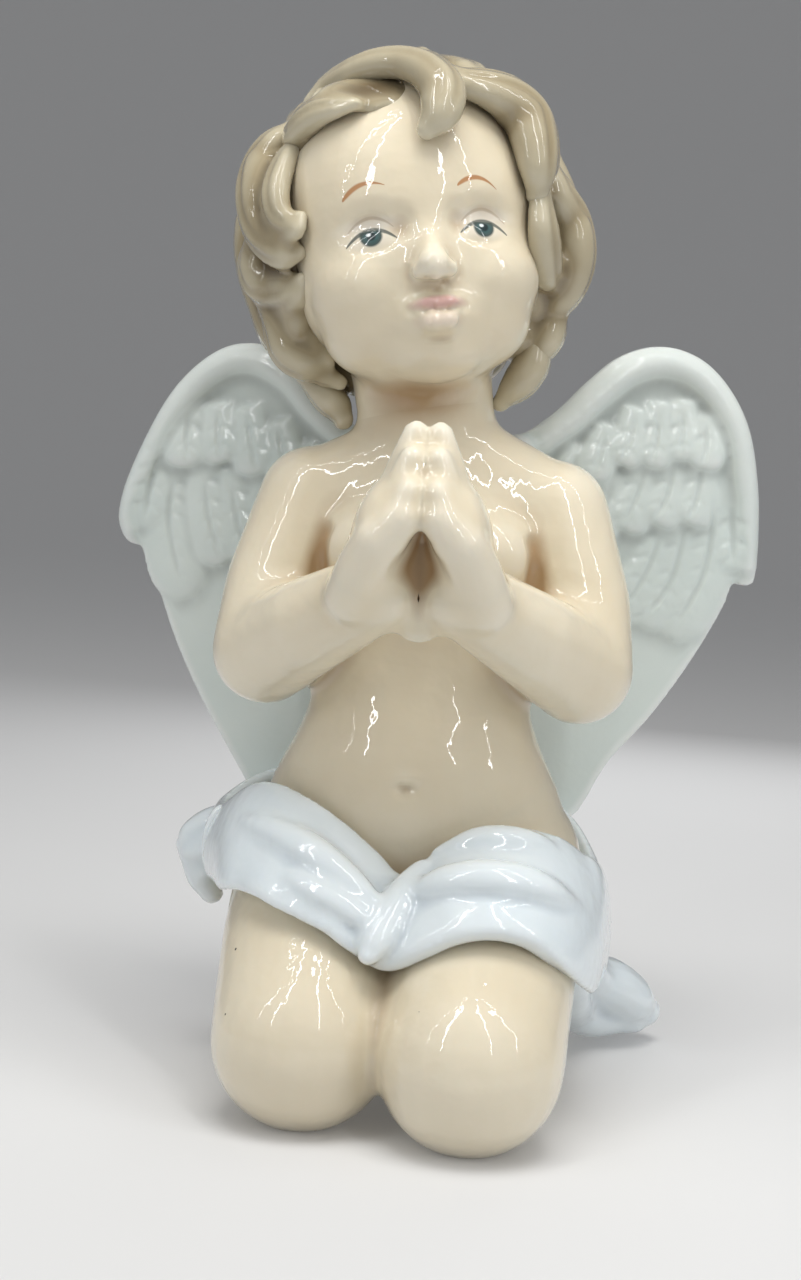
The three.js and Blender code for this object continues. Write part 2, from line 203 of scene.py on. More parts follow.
# fills creases and hardly wears the bulges; keep 1 leaves bulges alone
def relax(mesh, rounds, keep=0.85, mask=None):
    points = readPoints(mesh)
    edges = readEdges(mesh)
    count = np.maximum(np.bincount(edges.ravel(), minlength=len(points)), 1)[:, None]
    for turn in range(rounds):
        if turn % 8 == 0:
            writePoints(mesh, points)
            normals = readNormals(mesh)
        step = average(points, edges, count) - points
        lift = (step * normals).sum(1, keepdims=True)
        share = np.where(lift > 0, 1.0, 1.0 - keep)
        move = (step - normals * lift) * 0.5 + normals * lift * share * 0.6
        points += move if mask is None else move * mask[:, None]
    writePoints(mesh, points)


def hollows(mesh, reach):  # how deep each point lies in a hollow: above 0 in grooves, below 0 on ridges
    points = readPoints(mesh)
    edges = readEdges(mesh)
    count = np.maximum(np.bincount(edges.ravel(), minlength=len(points)), 1)[:, None]
    blurred = points.copy()
    for turn in range(reach):
        blurred = average(blurred, edges, count)
    depth = ((blurred - points) * readNormals(mesh)).sum(1)[:, None]
    for turn in range(2):
        depth = average(depth, edges, count)
    return depth[:, 0]


def falloff(distance):  # 1 at the middle, 0 from 1 outwards
    t = np.clip(1 - distance, 0, 1)
    return t * t * (3 - 2 * t)


def press(points, centre, radii, move):  # pushes a patch of clay
    away = (points - np.array(centre, float)) / np.array(radii, float)
    points += falloff(np.linalg.norm(away, axis=1))[:, None] * np.array(move, float)


def alongPath(points, path):  # nearest distance to a curve, and where along it from 0 to 1
    path = np.array(path, float)
    best = np.full(len(points), 1e9)
    where = np.zeros(len(points))
    for i in range(len(path) - 1):
        a, b = path[i, :3], path[i + 1, :3]
        span = b - a
        t = np.clip(((points - a) @ span) / max(span @ span, 1e-9), 0, 1)
        gap = np.linalg.norm(points - (a + t[:, None] * span), axis=1)
        closer = gap < best
        best[closer] = gap[closer]
        where[closer] = ((i + t) / (len(path) - 1))[closer]
    return best, where


def groove(points, normals, path, width, depth, fade=0.15):  # a soft line drawn into the clay
    gap, where = alongPath(points, path)
    ends = np.clip(np.minimum(where, 1 - where) / max(fade, 1e-6), 0, 1)
    points -= normals * (falloff(gap / width) * depth * (ends * (2 - ends)))[:, None]


# the glazes paint these hollows darker, as pooled glaze and painted shade
def paintGroove(mesh, values):  # how deep each point lies in a groove, in metres, for the glazes
    layer = mesh.attributes.get("groove") or mesh.attributes.new("groove", "FLOAT", "POINT")
    layer.data.foreach_set("value", np.asarray(values, np.float32))


def setVectors(mesh, name, values):
    layer = mesh.attributes.get(name) or mesh.attributes.new(name, "FLOAT_VECTOR", "POINT")
    layer.data.foreach_set("vector", np.asarray(values, np.float32).ravel())


def getVectors(mesh, name):
    values = np.empty(len(mesh.vertices) * 3, np.float32)
    mesh.attributes[name].data.foreach_get("vector", values)
    return values.reshape(-1, 3).astype(float)


def distanceTo(points, chain):  # to a chain of (x, y, z, radius), in units of that radius
    best = np.full(len(points), 1e9)
    chain = np.array(chain, float)
    for a, b in zip(chain, chain[1:]):
        span = b[:3] - a[:3]
        t = np.clip(((points - a[:3]) @ span) / (span @ span), 0, 1)
        gap = np.linalg.norm(points - (a[:3] + t[:, None] * span), axis=1)
        best = np.minimum(best, gap / (a[3] + t * (b[3] - a[3])))
    return best


def islandOf(clay):  # the largest connected part
    unseen = set(clay.verts)
    largest = []
    while unseen:
        start = unseen.pop()
        found, edge = [start], [start]
        while edge:
            edge = [e.other_vert(v) for v in edge for e in v.link_edges]
            edge = [v for v in set(edge) if v in unseen]
            unseen.difference_update(edge)
            found += edge
        if len(found) > len(largest):
            largest = found
    return largest


# keeps the part where the score is below 0; the cut is exact and follows no grid
def cutOut(mesh, score, name):
    part = mesh.copy()
    part.name = name
    points = readPoints(mesh)
    setVectors(part, "place", points)
    setVectors(part, "skinNormal", readNormals(mesh))
    writePoints(part, np.column_stack([points[:, 0], points[:, 1], score]))
    clay = bmesh.new()
    clay.from_mesh(part)
    bmesh.ops.bisect_plane(clay, geom=[*clay.verts, *clay.edges, *clay.faces], dist=1e-5, plane_co=(0, 0, 0),
                           plane_no=(0, 0, 1), clear_outer=True)
    keep = set(islandOf(clay))
    bmesh.ops.delete(clay, geom=[v for v in clay.verts if v not in keep], context="VERTS")
    clay.to_mesh(part)
    clay.free()
    writePoints(part, getVectors(part, "place"))
    return part


def closed(mesh):  # closes the cuts with a low cone each
    clay = bmesh.new()
    clay.from_mesh(mesh)
    layer = clay.faces.layers.int.new("inside")
    caps = bmesh.ops.holes_fill(clay, edges=[e for e in clay.edges if e.is_boundary], sides=0)["faces"]
    for face in bmesh.ops.poke(clay, faces=caps)["faces"]:
        face[layer] = 1
        for edge in face.edges:
            edge.smooth = False
    clay.to_mesh(mesh)
    clay.free()
    return mesh


def matchSeams(mesh):  # the glaze runs over a seam without a break, so both sides of it share one normal
    normals = readNormals(mesh)
    corners = np.empty(len(mesh.loops), np.int32)
    mesh.loops.foreach_get("vertex_index", corners)
    totals = np.empty(len(mesh.polygons), np.int32)
    mesh.polygons.foreach_get("loop_total", totals)
    inside = np.empty(len(mesh.polygons), np.int32)
    mesh.attributes["inside"].data.foreach_get("value", inside)
    faceNormals = np.empty(len(mesh.polygons) * 3, np.float32)
    mesh.polygons.foreach_get("normal", faceNormals)
    ofFace = np.repeat(np.arange(len(totals)), totals)
    onCap = inside[ofFace] == 1
    seam = np.zeros(len(normals), bool)
    seam[corners[onCap]] = True
    shared = getVectors(mesh, "skinNormal")
    normals[seam] = shared[seam] / np.maximum(np.linalg.norm(shared[seam], axis=1, keepdims=True), 1e-9)
    perCorner = normals[corners]
    perCorner[onCap] = faceNormals.reshape(-1, 3)[ofFace[onCap]]
    mesh.normals_split_custom_set(perCorner.tolist())
    for name in ("place", "skinNormal", "inside"):
        mesh.attributes.remove(mesh.attributes[name])


def camel(name):  # the model's name for a piece, written as this script writes names
    first, *rest = name.split("_")
    return first + "".join(word.title() for word in rest)


def asPiece(mesh, name, nodes, material, place=toRow):
    mesh.name = name
    mesh.transform(place)
    mesh.materials.clear()
    mesh.materials.append(material)
    mesh.polygons.foreach_set("use_smooth", [True] * len(mesh.polygons))
    if "inside" in mesh.attributes:
        matchSeams(mesh)
    piece = bpy.data.objects.new(name, mesh)
    scene.collection.objects.link(piece)
    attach(piece, "root")
    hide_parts(*nodes)
    print(name, sum(len(face.vertices) - 2 for face in mesh.polygons), "triangles")
    return piece


# Camera, floor and light.

view = {
    "distance": 400, "height": 120, "aside": -4.5,  # of the eye, from the spine
    "down": 5.4, "turn": 3.0, "lean": -3.5, "lens": 60.9,
}

flat = Vector((math.cos(math.radians(view["turn"])), math.sin(math.radians(view["turn"])), 0))
ahead = Vector((-flat.y * math.cos(math.radians(view["down"])), flat.x * math.cos(math.radians(view["down"])),
                -math.sin(math.radians(view["down"]))))
level = flat.cross(ahead)
lean = math.radians(view["lean"])
right = flat * math.cos(lean) - level * math.sin(lean)
above = flat * math.sin(lean) + level * math.cos(lean)
eye = vec(view["distance"] * flat.y, -view["distance"] * flat.x, view["height"]) + flat * view["aside"]

camera = bpy.data.objects.new("camera", bpy.data.cameras.new("camera"))
scene.collection.objects.link(camera)
scene.camera = camera
look = Matrix((right, above, -ahead)).transposed().to_4x4()
look.translation = spineFoot + eye * mm
camera.matrix_world = look
camera.data.lens = view["lens"]
camera.data.sensor_width = 36
camera.data.clip_start = 0.02


def addLight(name, where, aim, size, power, colour=(1, 1, 1), gleams=True):
    lamp = bpy.data.lights.new(name, "AREA")
    lamp.shape = "RECTANGLE"
    lamp.size, lamp.size_y = size[0] * mm, size[1] * mm
    lamp.energy = power
    lamp.color = colour
    holder = bpy.data.objects.new(name, lamp)
    holder.visible_glossy = gleams
    scene.collection.objects.link(holder)
    where = toRow @ Vector(where)
    turn = (toRow @ Vector(aim) - where).to_track_quat("-Z", "Y").to_matrix().to_4x4()
    turn.translation = where
    holder.matrix_world = turn


strips = {  # narrow lamps that lean over the figure, by their bearing in degrees and their width
    "bearings": {"FarLeft": (-56, 3.0), "Left": (-38, 11.0), "Right": (28, 11.0), "FarRight": (61, 6.0)},
    "away": 290, "height": 400, "length": 520, "power": 0.036,
}
addLight("overhead", (30, -120, 620), (0, 0, 90), (380, 300), 2.3, (1.0, 0.985, 0.95), gleams=False)
for place, (bearing, width) in strips["bearings"].items():
    a = math.radians(bearing)
    stand = (strips["away"] * math.sin(a), -strips["away"] * math.cos(a), strips["height"])
    addLight("strip" + place, stand, (0, 0, 100),
             (width, strips["length"]), strips["power"] * width)
addLight("rightFill", (420, -240, 170), (0, 0, 70), (240, 300), 0.45, (0.97, 0.98, 1.0), gleams=False)
addLight("leftFill", (-420, -180, 160), (0, 0, 80), (240, 300), 0.25, (0.97, 0.98, 1.0), gleams=False)
addLight("backFill", (80, 440, 260), (0, 0, 90), (320, 300), 0.6, (0.98, 0.99, 1.0), gleams=False)

world = bpy.data.worlds.new("studio")
scene.world = world
world.use_nodes = True
world.node_tree.nodes["Background"].inputs["Color"].default_value = (0.62, 0.64, 0.68, 1)
world.node_tree.nodes["Background"].inputs["Strength"].default_value = 0.3
scene.view_settings.view_transform = "Standard"

sweep = {
    "flat": 1.6, "rise": 1.4, "top": 4.0, "steps": 16, "segments": 96, "glow": 0.12,
    "colour": (0.62, 0.62, 0.62, 1),
}


def addBackdrop():  # a round table top that turns up into a seamless wall far behind
    clay = bmesh.new()
    outline = [(sweep["flat"] * k / 4, 0) for k in range(5)]
    for k in range(1, sweep["steps"] + 1):
        a = math.pi / 2 * k / sweep["steps"]
        outline.append((sweep["flat"] + sweep["rise"] * math.sin(a), sweep["rise"] * (1 - math.cos(a))))
    outline.append((sweep["flat"] + sweep["rise"], sweep["top"]))
    corners = [clay.verts.new((x, 0, z)) for x, z in outline]
    rims = [clay.edges.new(pair) for pair in zip(corners, corners[1:])]
    bmesh.ops.spin(clay, geom=corners + rims, cent=(0, 0, 0), axis=(0, 0, 1), angle=2 * math.pi,
                   steps=sweep["segments"], use_merge=True)
    bmesh.ops.remove_doubles(clay, verts=clay.verts, dist=1e-5)
    bmesh.ops.recalc_face_normals(clay, faces=clay.faces)
    if sum(face.normal.z for face in clay.faces) < 0:
        bmesh.ops.reverse_faces(clay, faces=clay.faces)
    mesh = bpy.data.meshes.new("backdrop")
    clay.to_mesh(mesh)
    clay.free()
    mesh.polygons.foreach_set("use_smooth", [True] * len(mesh.polygons))
    backdrop = bpy.data.objects.new("backdrop", mesh)
    scene.collection.objects.link(backdrop)
    backdrop.location.z = cadBox[0].z
    backdrop.visible_shadow = False
    paint = bpy.data.materials.new("paleBackdrop")
    paint.use_nodes = True
    paint.node_tree.nodes["Principled BSDF"].inputs["Base Color"].default_value = sweep["colour"]
    paint.node_tree.nodes["Principled BSDF"].inputs["Roughness"].default_value = 0.8
    paint.node_tree.nodes["Principled BSDF"].inputs["Emission Color"].default_value = sweep["colour"]
    paint.node_tree.nodes["Principled BSDF"].inputs["Emission Strength"].default_value = sweep["glow"]
    mesh.materials.append(paint)


addBackdrop()
print("stage set")

# Glazes.


def addNode(paint, kind, x=0, y=0, **values):
    node = paint.node_tree.nodes.new("ShaderNode" + kind)
    node.location = (x, y)
    for key, value in values.items():
        if key in node.inputs:
            node.inputs[key].default_value = value
        else:
            setattr(node, key, value)
    return node


def link(paint, source, sink):
    paint.node_tree.links.new(source, sink)


def calc(paint, operation, *values):
    node = addNode(paint, "Math", operation=operation)
    for socket, value in zip(node.inputs, values):
        if isinstance(value, (int, float)):
            socket.default_value = value
        else:
            link(paint, value, socket)
    return node.outputs[0]


def faded(paint, value, nothing, full):
    node = addNode(paint, "MapRange")
    link(paint, value, node.inputs["Value"])
    node.inputs["From Min"].default_value = nothing
    node.inputs["From Max"].default_value = full
    return node.outputs["Result"]


def mixColour(paint, factor, low, high, x, y, blend="MIX"):
    node = addNode(paint, "Mix", x, y, data_type="RGBA", blend_type=blend)
    for socket, value in ((node.inputs[0], factor), (node.inputs[6], low), (node.inputs[7], high)):
        if isinstance(value, (tuple, float, int)):
            socket.default_value = value
        else:
            link(paint, value, socket)
    return node.outputs[2]


glazing = {  # what all the glazes share
    "cloud": 45.0, "thinOnRidges": (0.25, 1.3), "speckSize": 0.055, "speckShare": 0.08,
    "speckColour": (0.05, 0.045, 0.04, 1), "refraction": 1.5,
}


def glaze(name, look):  # a coloured wash under a clear glaze, darker in the hollows with pooled glaze and painted shade, and thin on the ridges
    paint = bpy.data.materials.new(name)
    paint.use_nodes = True
    shader = paint.node_tree.nodes["Principled BSDF"]
    shader.location = (900, 0)
    shader.inputs["Roughness"].default_value = look["roughness"]
    shader.inputs["IOR"].default_value = glazing["refraction"]
    shader.inputs["Specular IOR Level"].default_value = 0.25
    shader.inputs["Coat Weight"].default_value = look["coat"]
    shader.inputs["Coat Roughness"].default_value = look["coatRoughness"]
    shader.inputs["Coat IOR"].default_value = glazing["refraction"]
    shader.inputs["Subsurface Weight"].default_value = look["translucent"]
    shader.inputs["Subsurface Radius"].default_value = (0.0024, 0.0016, 0.001)
    shader.inputs["Subsurface Scale"].default_value = 0.6
    place = addNode(paint, "TexCoord", -1300, 0)
    pattern = addNode(paint, "Mapping", -1100, 0)
    link(paint, place.outputs["Object"], pattern.inputs["Vector"])
    cloud = addNode(paint, "TexNoise", -850, 250, Scale=glazing["cloud"], Detail=3.0, Roughness=0.5)
    link(paint, pattern.outputs["Vector"], cloud.inputs["Vector"])
    clouded = faded(paint, cloud.outputs["Fac"], 0.35, 0.7)
    base = mixColour(paint, clouded, look["colour"], look["cloudy"], -400, 250)
    # the hollows get the deep colour: pooled glaze and painted shade
    grooves = addNode(paint, "Attribute", -850, -50, attribute_name="groove").outputs["Fac"]
    base = mixColour(paint, faded(paint, grooves, *look["pool"]), base, look["deep"], -150, 150)
    bare, barest = (-look["pool"][1] * share for share in glazing["thinOnRidges"])
    base = mixColour(paint, faded(paint, grooves, bare, barest), base, look["thin"], 50, 100)
    if look.get("specks"):
        grains = addNode(paint, "TexVoronoi", -850, -550, Scale=look["specks"])
        link(paint, pattern.outputs["Vector"], grains.inputs["Vector"])
        chance = addNode(paint, "SeparateColor", -650, -700)
        link(paint, grains.outputs["Color"], chance.inputs["Color"])
        near = calc(paint, "LESS_THAN", grains.outputs["Distance"], glazing["speckSize"])
        rare = calc(paint, "LESS_THAN", chance.outputs["Red"], glazing["speckShare"])
        base = mixColour(paint, calc(paint, "MULTIPLY", near, rare), base, glazing["speckColour"], 250, 50)
    link(paint, base, shader.inputs["Base Color"])
    ripple = addNode(paint, "TexNoise", -850, -850, Scale=look["ripple"], Detail=2.0, Roughness=0.45)
    link(paint, pattern.outputs["Vector"], ripple.inputs["Vector"])
    bump = addNode(paint, "Bump", 650, -500, Strength=look["rippleDepth"], Distance=0.001)
    link(paint, ripple.outputs["Fac"], bump.inputs["Height"])
    link(paint, bump.outputs["Normal"], shader.inputs["Normal"])
    link(paint, bump.outputs["Normal"], shader.inputs["Coat Normal"])
    return paint, base, shader


skinLook = {
    "colour": (0.70, 0.615, 0.455, 1), "cloudy": (0.74, 0.665, 0.51, 1), "deep": (0.40, 0.265, 0.14, 1),
    "thin": (0.79, 0.735, 0.61, 1), "pool": (0.00010, 0.0008), "roughness": 0.34, "coat": 1.0,
    "coatRoughness": 0.025,
    "translucent": 0.12, "ripple": 210.0, "rippleDepth": 0.24, "specks": 210.0,
}
skinPaint = glaze("skinGlaze", skinLook)[0]

# The figure's body, kneaded as one lump and cut where the castings join.

body = {
    "trunk": [  # height, half-width, front and back of each section
        (26, 17, -9, 15), (32, 22.5, -14, 19), (40, 26.8, -18, 21.5), (47, 28.4, -20.0, 21.5),
        (54, 27.2, -21.0, 18.5), (60, 24.6, -20.4, 15.8), (66, 21.8, -18.4, 13.6), (72, 20.2, -16.2, 12.2),
        (80, 20.6, -14.8, 12.4), (90, 22.4, -15.0, 13.4), (100, 23.2, -14.8, 14.4), (107, 21.0, -12.4, 13.8),
        (113, 14.5, -9.6, 12.0),
    ],
    "bulges": [  # centre and half-sizes of the chest and seat
        ((-9.5, -7.5, 99), (10, 8, 9)), ((9.5, -7.5, 99), (10, 8, 9)),
        ((-11.5, 12.5, 42), (13.5, 12, 13)), ((11.5, 12.5, 42), (13.5, 12, 13)),
    ],
    "shoulders": [(-19, 2, 108.2, 9.6), (-7, 2.5, 112, 11.5), (7, 2.5, 112, 11.5), (19, 2, 108.2, 9.6)],
    "neck": [(0, 3, 108, 14.5), (-1.4, 3, 118, 12.4), (-4.6, 3.5, 136, 13.2)],
    "arm": [(22.6, 2, 107.2, 9.9), (27.6, -2, 91, 9.8), (28.6, -7.5, 79.5, 9.9), (19, -21, 86.0, 8.6),
            (7.0, -33.0, 93.5, 6.9)],
    "thigh": [(14.6, 1, 41, 17.4), (15.6, -17, 27.5, 16.9), (15.6, -32, 14.6, 16.2)],
    "leadingKnee": (-1.8, -7.0),  # where the left knee stands against the right one, across and forwards
    "shin": [(15, -24, 12.6, 12.4), (14.4, 8, 9.4, 10.4), (13.2, 29, 7.6, 7.6)],
    "paintedShade": [  # painted shade under the chin, in the armpits, under the hands and below the chest: place, reach and depth
        ((-4.5, -10, 126), (17, 12, 10), 0.75), ((-19.5, -9, 96), (6, 6, 10), 0.45),
        ((19.5, -9, 96), (6, 6, 10), 0.45), ((0, -34, 97), (8, 8, 9), 0.7), ((0, -12, 88), (16, 8, 12), 0.4),
    ],
    "navel": (-1.0, 57.4), "voxel": 0.79, "relax": 46,
}
hand = {
    "fingers": [  # foot, knuckle and tip of each finger, from the thumb's side forwards
        [(5.4, -33.2, 104, 3.4), (3.9, -33.2, 113, 3.1), (2.1, -33.8, 119.4, 2.2)],
        [(5.8, -36.6, 104, 3.5), (4.0, -36.8, 113.5, 3.2), (2.05, -37.2, 120.4, 2.3)],
        [(5.8, -40.0, 103, 3.5), (4.1, -40.4, 110.2, 3.1), (2.2, -40.8, 116.2, 2.3)],
        [(5.2, -43.0, 103, 3.4), (3.6, -43.8, 107.0, 3.0), (2.3, -43.8, 111.0, 2.3)],
    ],
    "thumb": [(6.0, -31.0, 100, 3.6), (4.4, -28.8, 107, 2.9), (2.6, -28.2, 112.5, 2.4)],
    "palm": ((6.2, -36.5, 104.5), (5.6, 8.8, 9.8), 16),
    "edge": [(3.4, -43.8, 106.4, 3.6), (6.9, -42.8, 102.6, 4.2), (9.3, -39.6, 98.0, 4.6),
             (11.0, -35.0, 92.5, 5.2)],
    "web": ((0, -30.6, 97.0), (7.0, 4.8, 12.5)),
    "core": [(0, -36.5, 118.2, 1.9), (0, -40.2, 113.6, 2.3), (0, -42.2, 108.6, 2.5)],
}
foot = {
    "sole": [(13.4, 29, 8.6, 7.4), (12.8, 37, 8.2, 6.6), (12.6, 45, 6.8, 6.2)],
    "heel": (13.2, 30.5, 11.6, 6.2),
    "toes": [(7.9, 49.6, 6.2, 3.3), (11.4, 50.6, 5.2, 2.5), (14.1, 50.2, 4.8, 2.2), (16.4, 49.2, 4.4, 2.0),
             (18.3, 47.6, 4.2, 1.8)],
}
headSet = {
    "centre": (-7.2, 2.5, 157), "turn": (-7, -10, 9),
    "balls": [  # centre and half-sizes, in the head's own millimetres with the face towards -Y
        ((0, 1, 3), (24.3, 25.5, 26.5)), ((0, -2.8, -8.5), (22.5, 20.6, 19.6)),
        ((-6.6, -7.0, -18.4), (12.4, 12.6, 9.6)), ((6.6, -7.0, -18.4), (12.4, 12.6, 9.6)),
        ((-7.4, -9.4, -12.0), (13.4, 12.6, 10.8)), ((7.4, -9.4, -12.0), (13.4, 12.6, 10.8)),
        ((0, -15.8, -18.0), (10.0, 7.8, 8.6)), ((0, -13.4, -24.0), (9.6, 8.0, 6.2)),
        ((0, -7.0, -24.4), (13.0, 11.0, 6.0)),
    ],
    "nose": [(0, -22.8, -5.4, 1.8), (-0.1, -24.5, -8.8, 2.1), (-0.3, -26.1, -11.5, 2.9)],
    "wings": (2.6, -24.7, -12.3, 1.7),
    "lips": [((1.6, -24.1, -17.8), (2.0, 1.6, 1.2)), ((3.1, -23.4, -18.2), (1.5, 1.3, 0.9)),
             ((1.0, -23.9, -21.0), (2.6, 1.9, 1.8))],
    "eye": (9.95, -4.7), "lid": [(5.6, -5.6), (7.7, -4.0), (10.0, -3.1), (12.4, -3.9), (14.4, -6.0)],
}


# stands a head built upright in its place, with its nod, its lean and its turn in degrees
def headed(turn):
    nod, leanOver, turnAside = (Matrix.Rotation(math.radians(a), 4, axis) for a, axis in zip(turn, "XYZ"))
    return Matrix.Translation(headSet["centre"]) @ nod @ leanOver @ turnAside


headPlace = headed(headSet["turn"])


# the same limb on the right (-1) or left (1), with the left one's end led away
def sided(points, s, lead=(0, 0)):
    rows = []
    for i, (x, y, z, r) in enumerate(points):
        share = i / (len(points) - 1) if s > 0 else 0
        rows.append((s * x + lead[0] * share, y + lead[1] * share, z, r))
    return rows


lump = bmesh.new()
sections = [(0, (front + back) / 2, z, half, (back - front) / 2) for z, half, front, back in body["trunk"]]
trunk = smoothPath(sections, 4)
addStrand(lump, trunk[:, :4], (0, 1, 0), flat=trunk[:, 4] / trunk[:, 3], sides=64)
for centre, radii in body["bulges"]:
    addBall(lump, centre, radii, detail=36)
addChain(lump, body["shoulders"])
addChain(lump, body["neck"])
bones = {
    "torso": [(0, 2, 30, 22), (0, -1, 60, 20), (0, 0, 84, 17), (0, 1, 104, 17), (0, 2.5, 113, 15)],
    "head": [body["neck"][-1][:3] + (15,), (-7.2, 1, 157, 26)],
}
for side, s in (("right", -1), ("left", 1)):
    arm = sided(body["arm"], s)
    thigh = sided(body["thigh"], s, body["leadingKnee"])
    shin = sided(body["shin"], s)
    if s > 0:
        shin[0] = (shin[0][0] + body["leadingKnee"][0], shin[0][1] + body["leadingKnee"][1], *shin[0][2:])
    for chain in (arm, thigh, shin, sided(foot["sole"], s), sided(hand["thumb"], s), sided(hand["edge"], s)):
        addChain(lump, chain)
    for finger in hand["fingers"]:
        addChain(lump, sided(finger, s))
    centre, radii, leanIn = hand["palm"]
    addBall(lump, (s * centre[0], centre[1], centre[2]), radii, turn=(0, -s * leanIn, 0), detail=32)
    heelX, heelY, heelZ, heelRadius = foot["heel"]
    addLimb(lump, (s * heelX, heelY, heelZ), (s * heelX, heelY + 4, heelZ - 2), heelRadius, heelRadius - 1)
    for x, y, z, r in foot["toes"]:
        addLimb(lump, (s * x, y - 4, z + 0.6), (s * x, y, z), r * 0.95, r)
    bones[side + "_arm"] = arm[:-1] + [(s * 9.0, -31.4, 92.4, 7.2)]
    bones[side + "_hand"] = [
        (s * 6.5, -36.5, 99.5, 6.6), (s * 4.4, -38.5, 108, 7.5), (s * 2.2, -37.5, 119, 7.5)]
    bones[side + "_thigh"] = thigh
    bones[side + "_shin"] = [(s * 14.6, 0, 8.0, 11.0), (s * 13.6, 24, 6.6, 9.6)]
    bones[side + "_foot"] = [(s * 13.2, 33.0, 9.0, 8.6), (s * 12.6, 48, 6.0, 8.0)]
addBall(lump, *hand["web"], detail=32)
addChain(lump, hand["core"])
headLump = bmesh.new()
for centre, radii in headSet["balls"]:
    addBall(headLump, centre, radii, detail=40)
addChain(headLump, headSet["nose"])
for s in (-1, 1):
    x, y, z, r = headSet["wings"]
    addBall(headLump, (s * x, y, z), (r, r, r * 0.9))
    for centre, radii in headSet["lips"]:
        addBall(headLump, (s * centre[0], *centre[1:]), radii)
headMesh = meshOf(headLump, "headLump")
headMesh.transform(headPlace)
lump.from_mesh(headMesh)
bodyMesh = kneaded(lump, "bodyClay", body["voxel"])


# painted shade patches under the chin, in the armpits, under the hands and below the chest
def paintedShadeWash(points):
    wash = np.zeros(len(points))
    for place, reach, depth in body["paintedShade"]:
        wash += falloff(np.linalg.norm((points - place) / reach, axis=1)) * depth
    return wash


def inHead(points):
    local = np.array(headPlace.inverted())
    return points @ local[:3, :3].T + local[:3, 3]


points = readPoints(bodyMesh)
local = inHead(points)
fine = np.maximum.reduce([  # the hands, the toes and the middle of the face are left crisp
    falloff(np.linalg.norm((points - (0, -38, 112)) / (11, 13, 17), axis=1)),
    falloff(np.linalg.norm((points - (0, 50, 4)) / (30, 9, 12), axis=1)),
    falloff(np.linalg.norm((local - (0, -26, -15)) / (9, 8, 11), axis=1))])
relax(bodyMesh, int(body["relax"] / coarse ** 2), keep=0.92, mask=1 - 0.8 * np.clip(fine * 2.5, 0, 1))
points = readPoints(bodyMesh)
normals = readNormals(bodyMesh)
x, z = body["navel"]
for dx in (-0.9, 0, 0.9):
    press(points, (x + dx, -20.5, z + 0.25 * abs(dx)), (2.0, 4, 1.5), (0, 1.3, 0.1))
press(points, (x, -20.8, z + 2.2), (3.6, 4, 1.8), (0, -0.4, -0.3))
groove(points, normals, [(0, 14, 106), (0, 13.6, 88), (0, 13.5, 70), (0, 17, 58)], 7, 1.1)
groove(points, normals, [(0, 24, 53), (0, 25.5, 42), (0, 21, 32)], 4.5, 3.2)
for s in (-1, 1):
    groove(points, normals, [(s * 18.0, -9.5, 104), (s * 19.0, -9.6, 98), (s * 19.5, -8.5, 90)], 3.0, 0.9)
    groove(points, normals, [(s * 3.2, -35.0, 121), (s * 3.9, -35.2, 112), (s * 6.5, -35, 106)], 0.9, 0.35)
writePoints(bodyMesh, points)
relax(bodyMesh, 3, keep=0.8)
points = readPoints(bodyMesh)
points[:, 2] = np.maximum(points[:, 2], 0)  # the knees and shins are ground flat
writePoints(bodyMesh, points)
# the glaze darkens the hollows (pooled glaze and painted shade) and the painted shade patches
paintGroove(bodyMesh, (hollows(bodyMesh, int(26 / coarse ** 2)) + paintedShadeWash(points)) * 0.001)
print("body kneaded", len(bodyMesh.vertices))

points = readPoints(bodyMesh)
scores = {name: distanceTo(points, chain) for name, chain in bones.items()}
castings = {}
for name in bones:
    rest = np.minimum.reduce([scores[other] for other in bones if other != name])
    castings[name] = cutOut(bodyMesh, (scores[name] - rest) * 10, name)

# The head's own finer clay, and the face.

finer = {"subdivision_type": "SIMPLE", "levels": 1, "render_levels": 1}
headClay = withModifiers(castings["head"], ("SUBSURF", finer))
headMask = np.clip((readPoints(headClay)[:, 2] - 138) / 6, 0, 1)
relax(headClay, 4, keep=0.5, mask=headMask)
points = inHead(readPoints(headClay))


def onFace(x, z):  # the point of the face at x and z
    front = np.where(points[:, 1] < 0, 0, 1e3) + np.abs(points[:, 0] - x) + np.abs(points[:, 2] - z)
    return points[np.argmin(front)].copy()


def dent(x, z, radii, move):
    press(points, onFace(x, z), radii, move)


def crease(path, width, depth, fade=0.2):
    groove(points, headNormals, np.array([onFace(x, z) for x, z in path]), width, depth, fade)


headNormals = readNormals(headClay) @ np.array(headPlace.to_3x3())
for s in (-1, 1):
    ex, ez = headSet["eye"]
    dent(s * ex, ez + 1.4, (8.2, 8, 5.8), (0, 1.5, 0))
    dent(s * 4.6, -3.2, (3.2, 6, 4.8), (0, 0.8, 0))
    dent(s * ex, ez - 0.3, (5.2, 5, 2.9), (0, -1.0, 0))
    crease([(s * x, z + 1.9) for x, z in headSet["lid"]], 1.0, 0.32, 0.35)
    crease([(s * x, z) for x, z in headSet["lid"]], 0.5, 0.16, 0.2)
    crease([(s * 6.0, -6.5), (s * 8.2, -7.5), (s * 11.0, -7.7), (s * 13.8, -6.8)], 0.9, 0.1, 0.3)
    dent(s * 4.6, -18.6, (1.7, 3, 1.8), (0, 0.5, 0))
    dent(s * 1.5, -14.2, (1.1, 2, 0.9), (0, 0.5, 0.4))
    crease([(s * 4.1, -10.8), (s * 4.7, -12.4), (s * 3.9, -13.9)], 1.2, 0.22, 0.3)
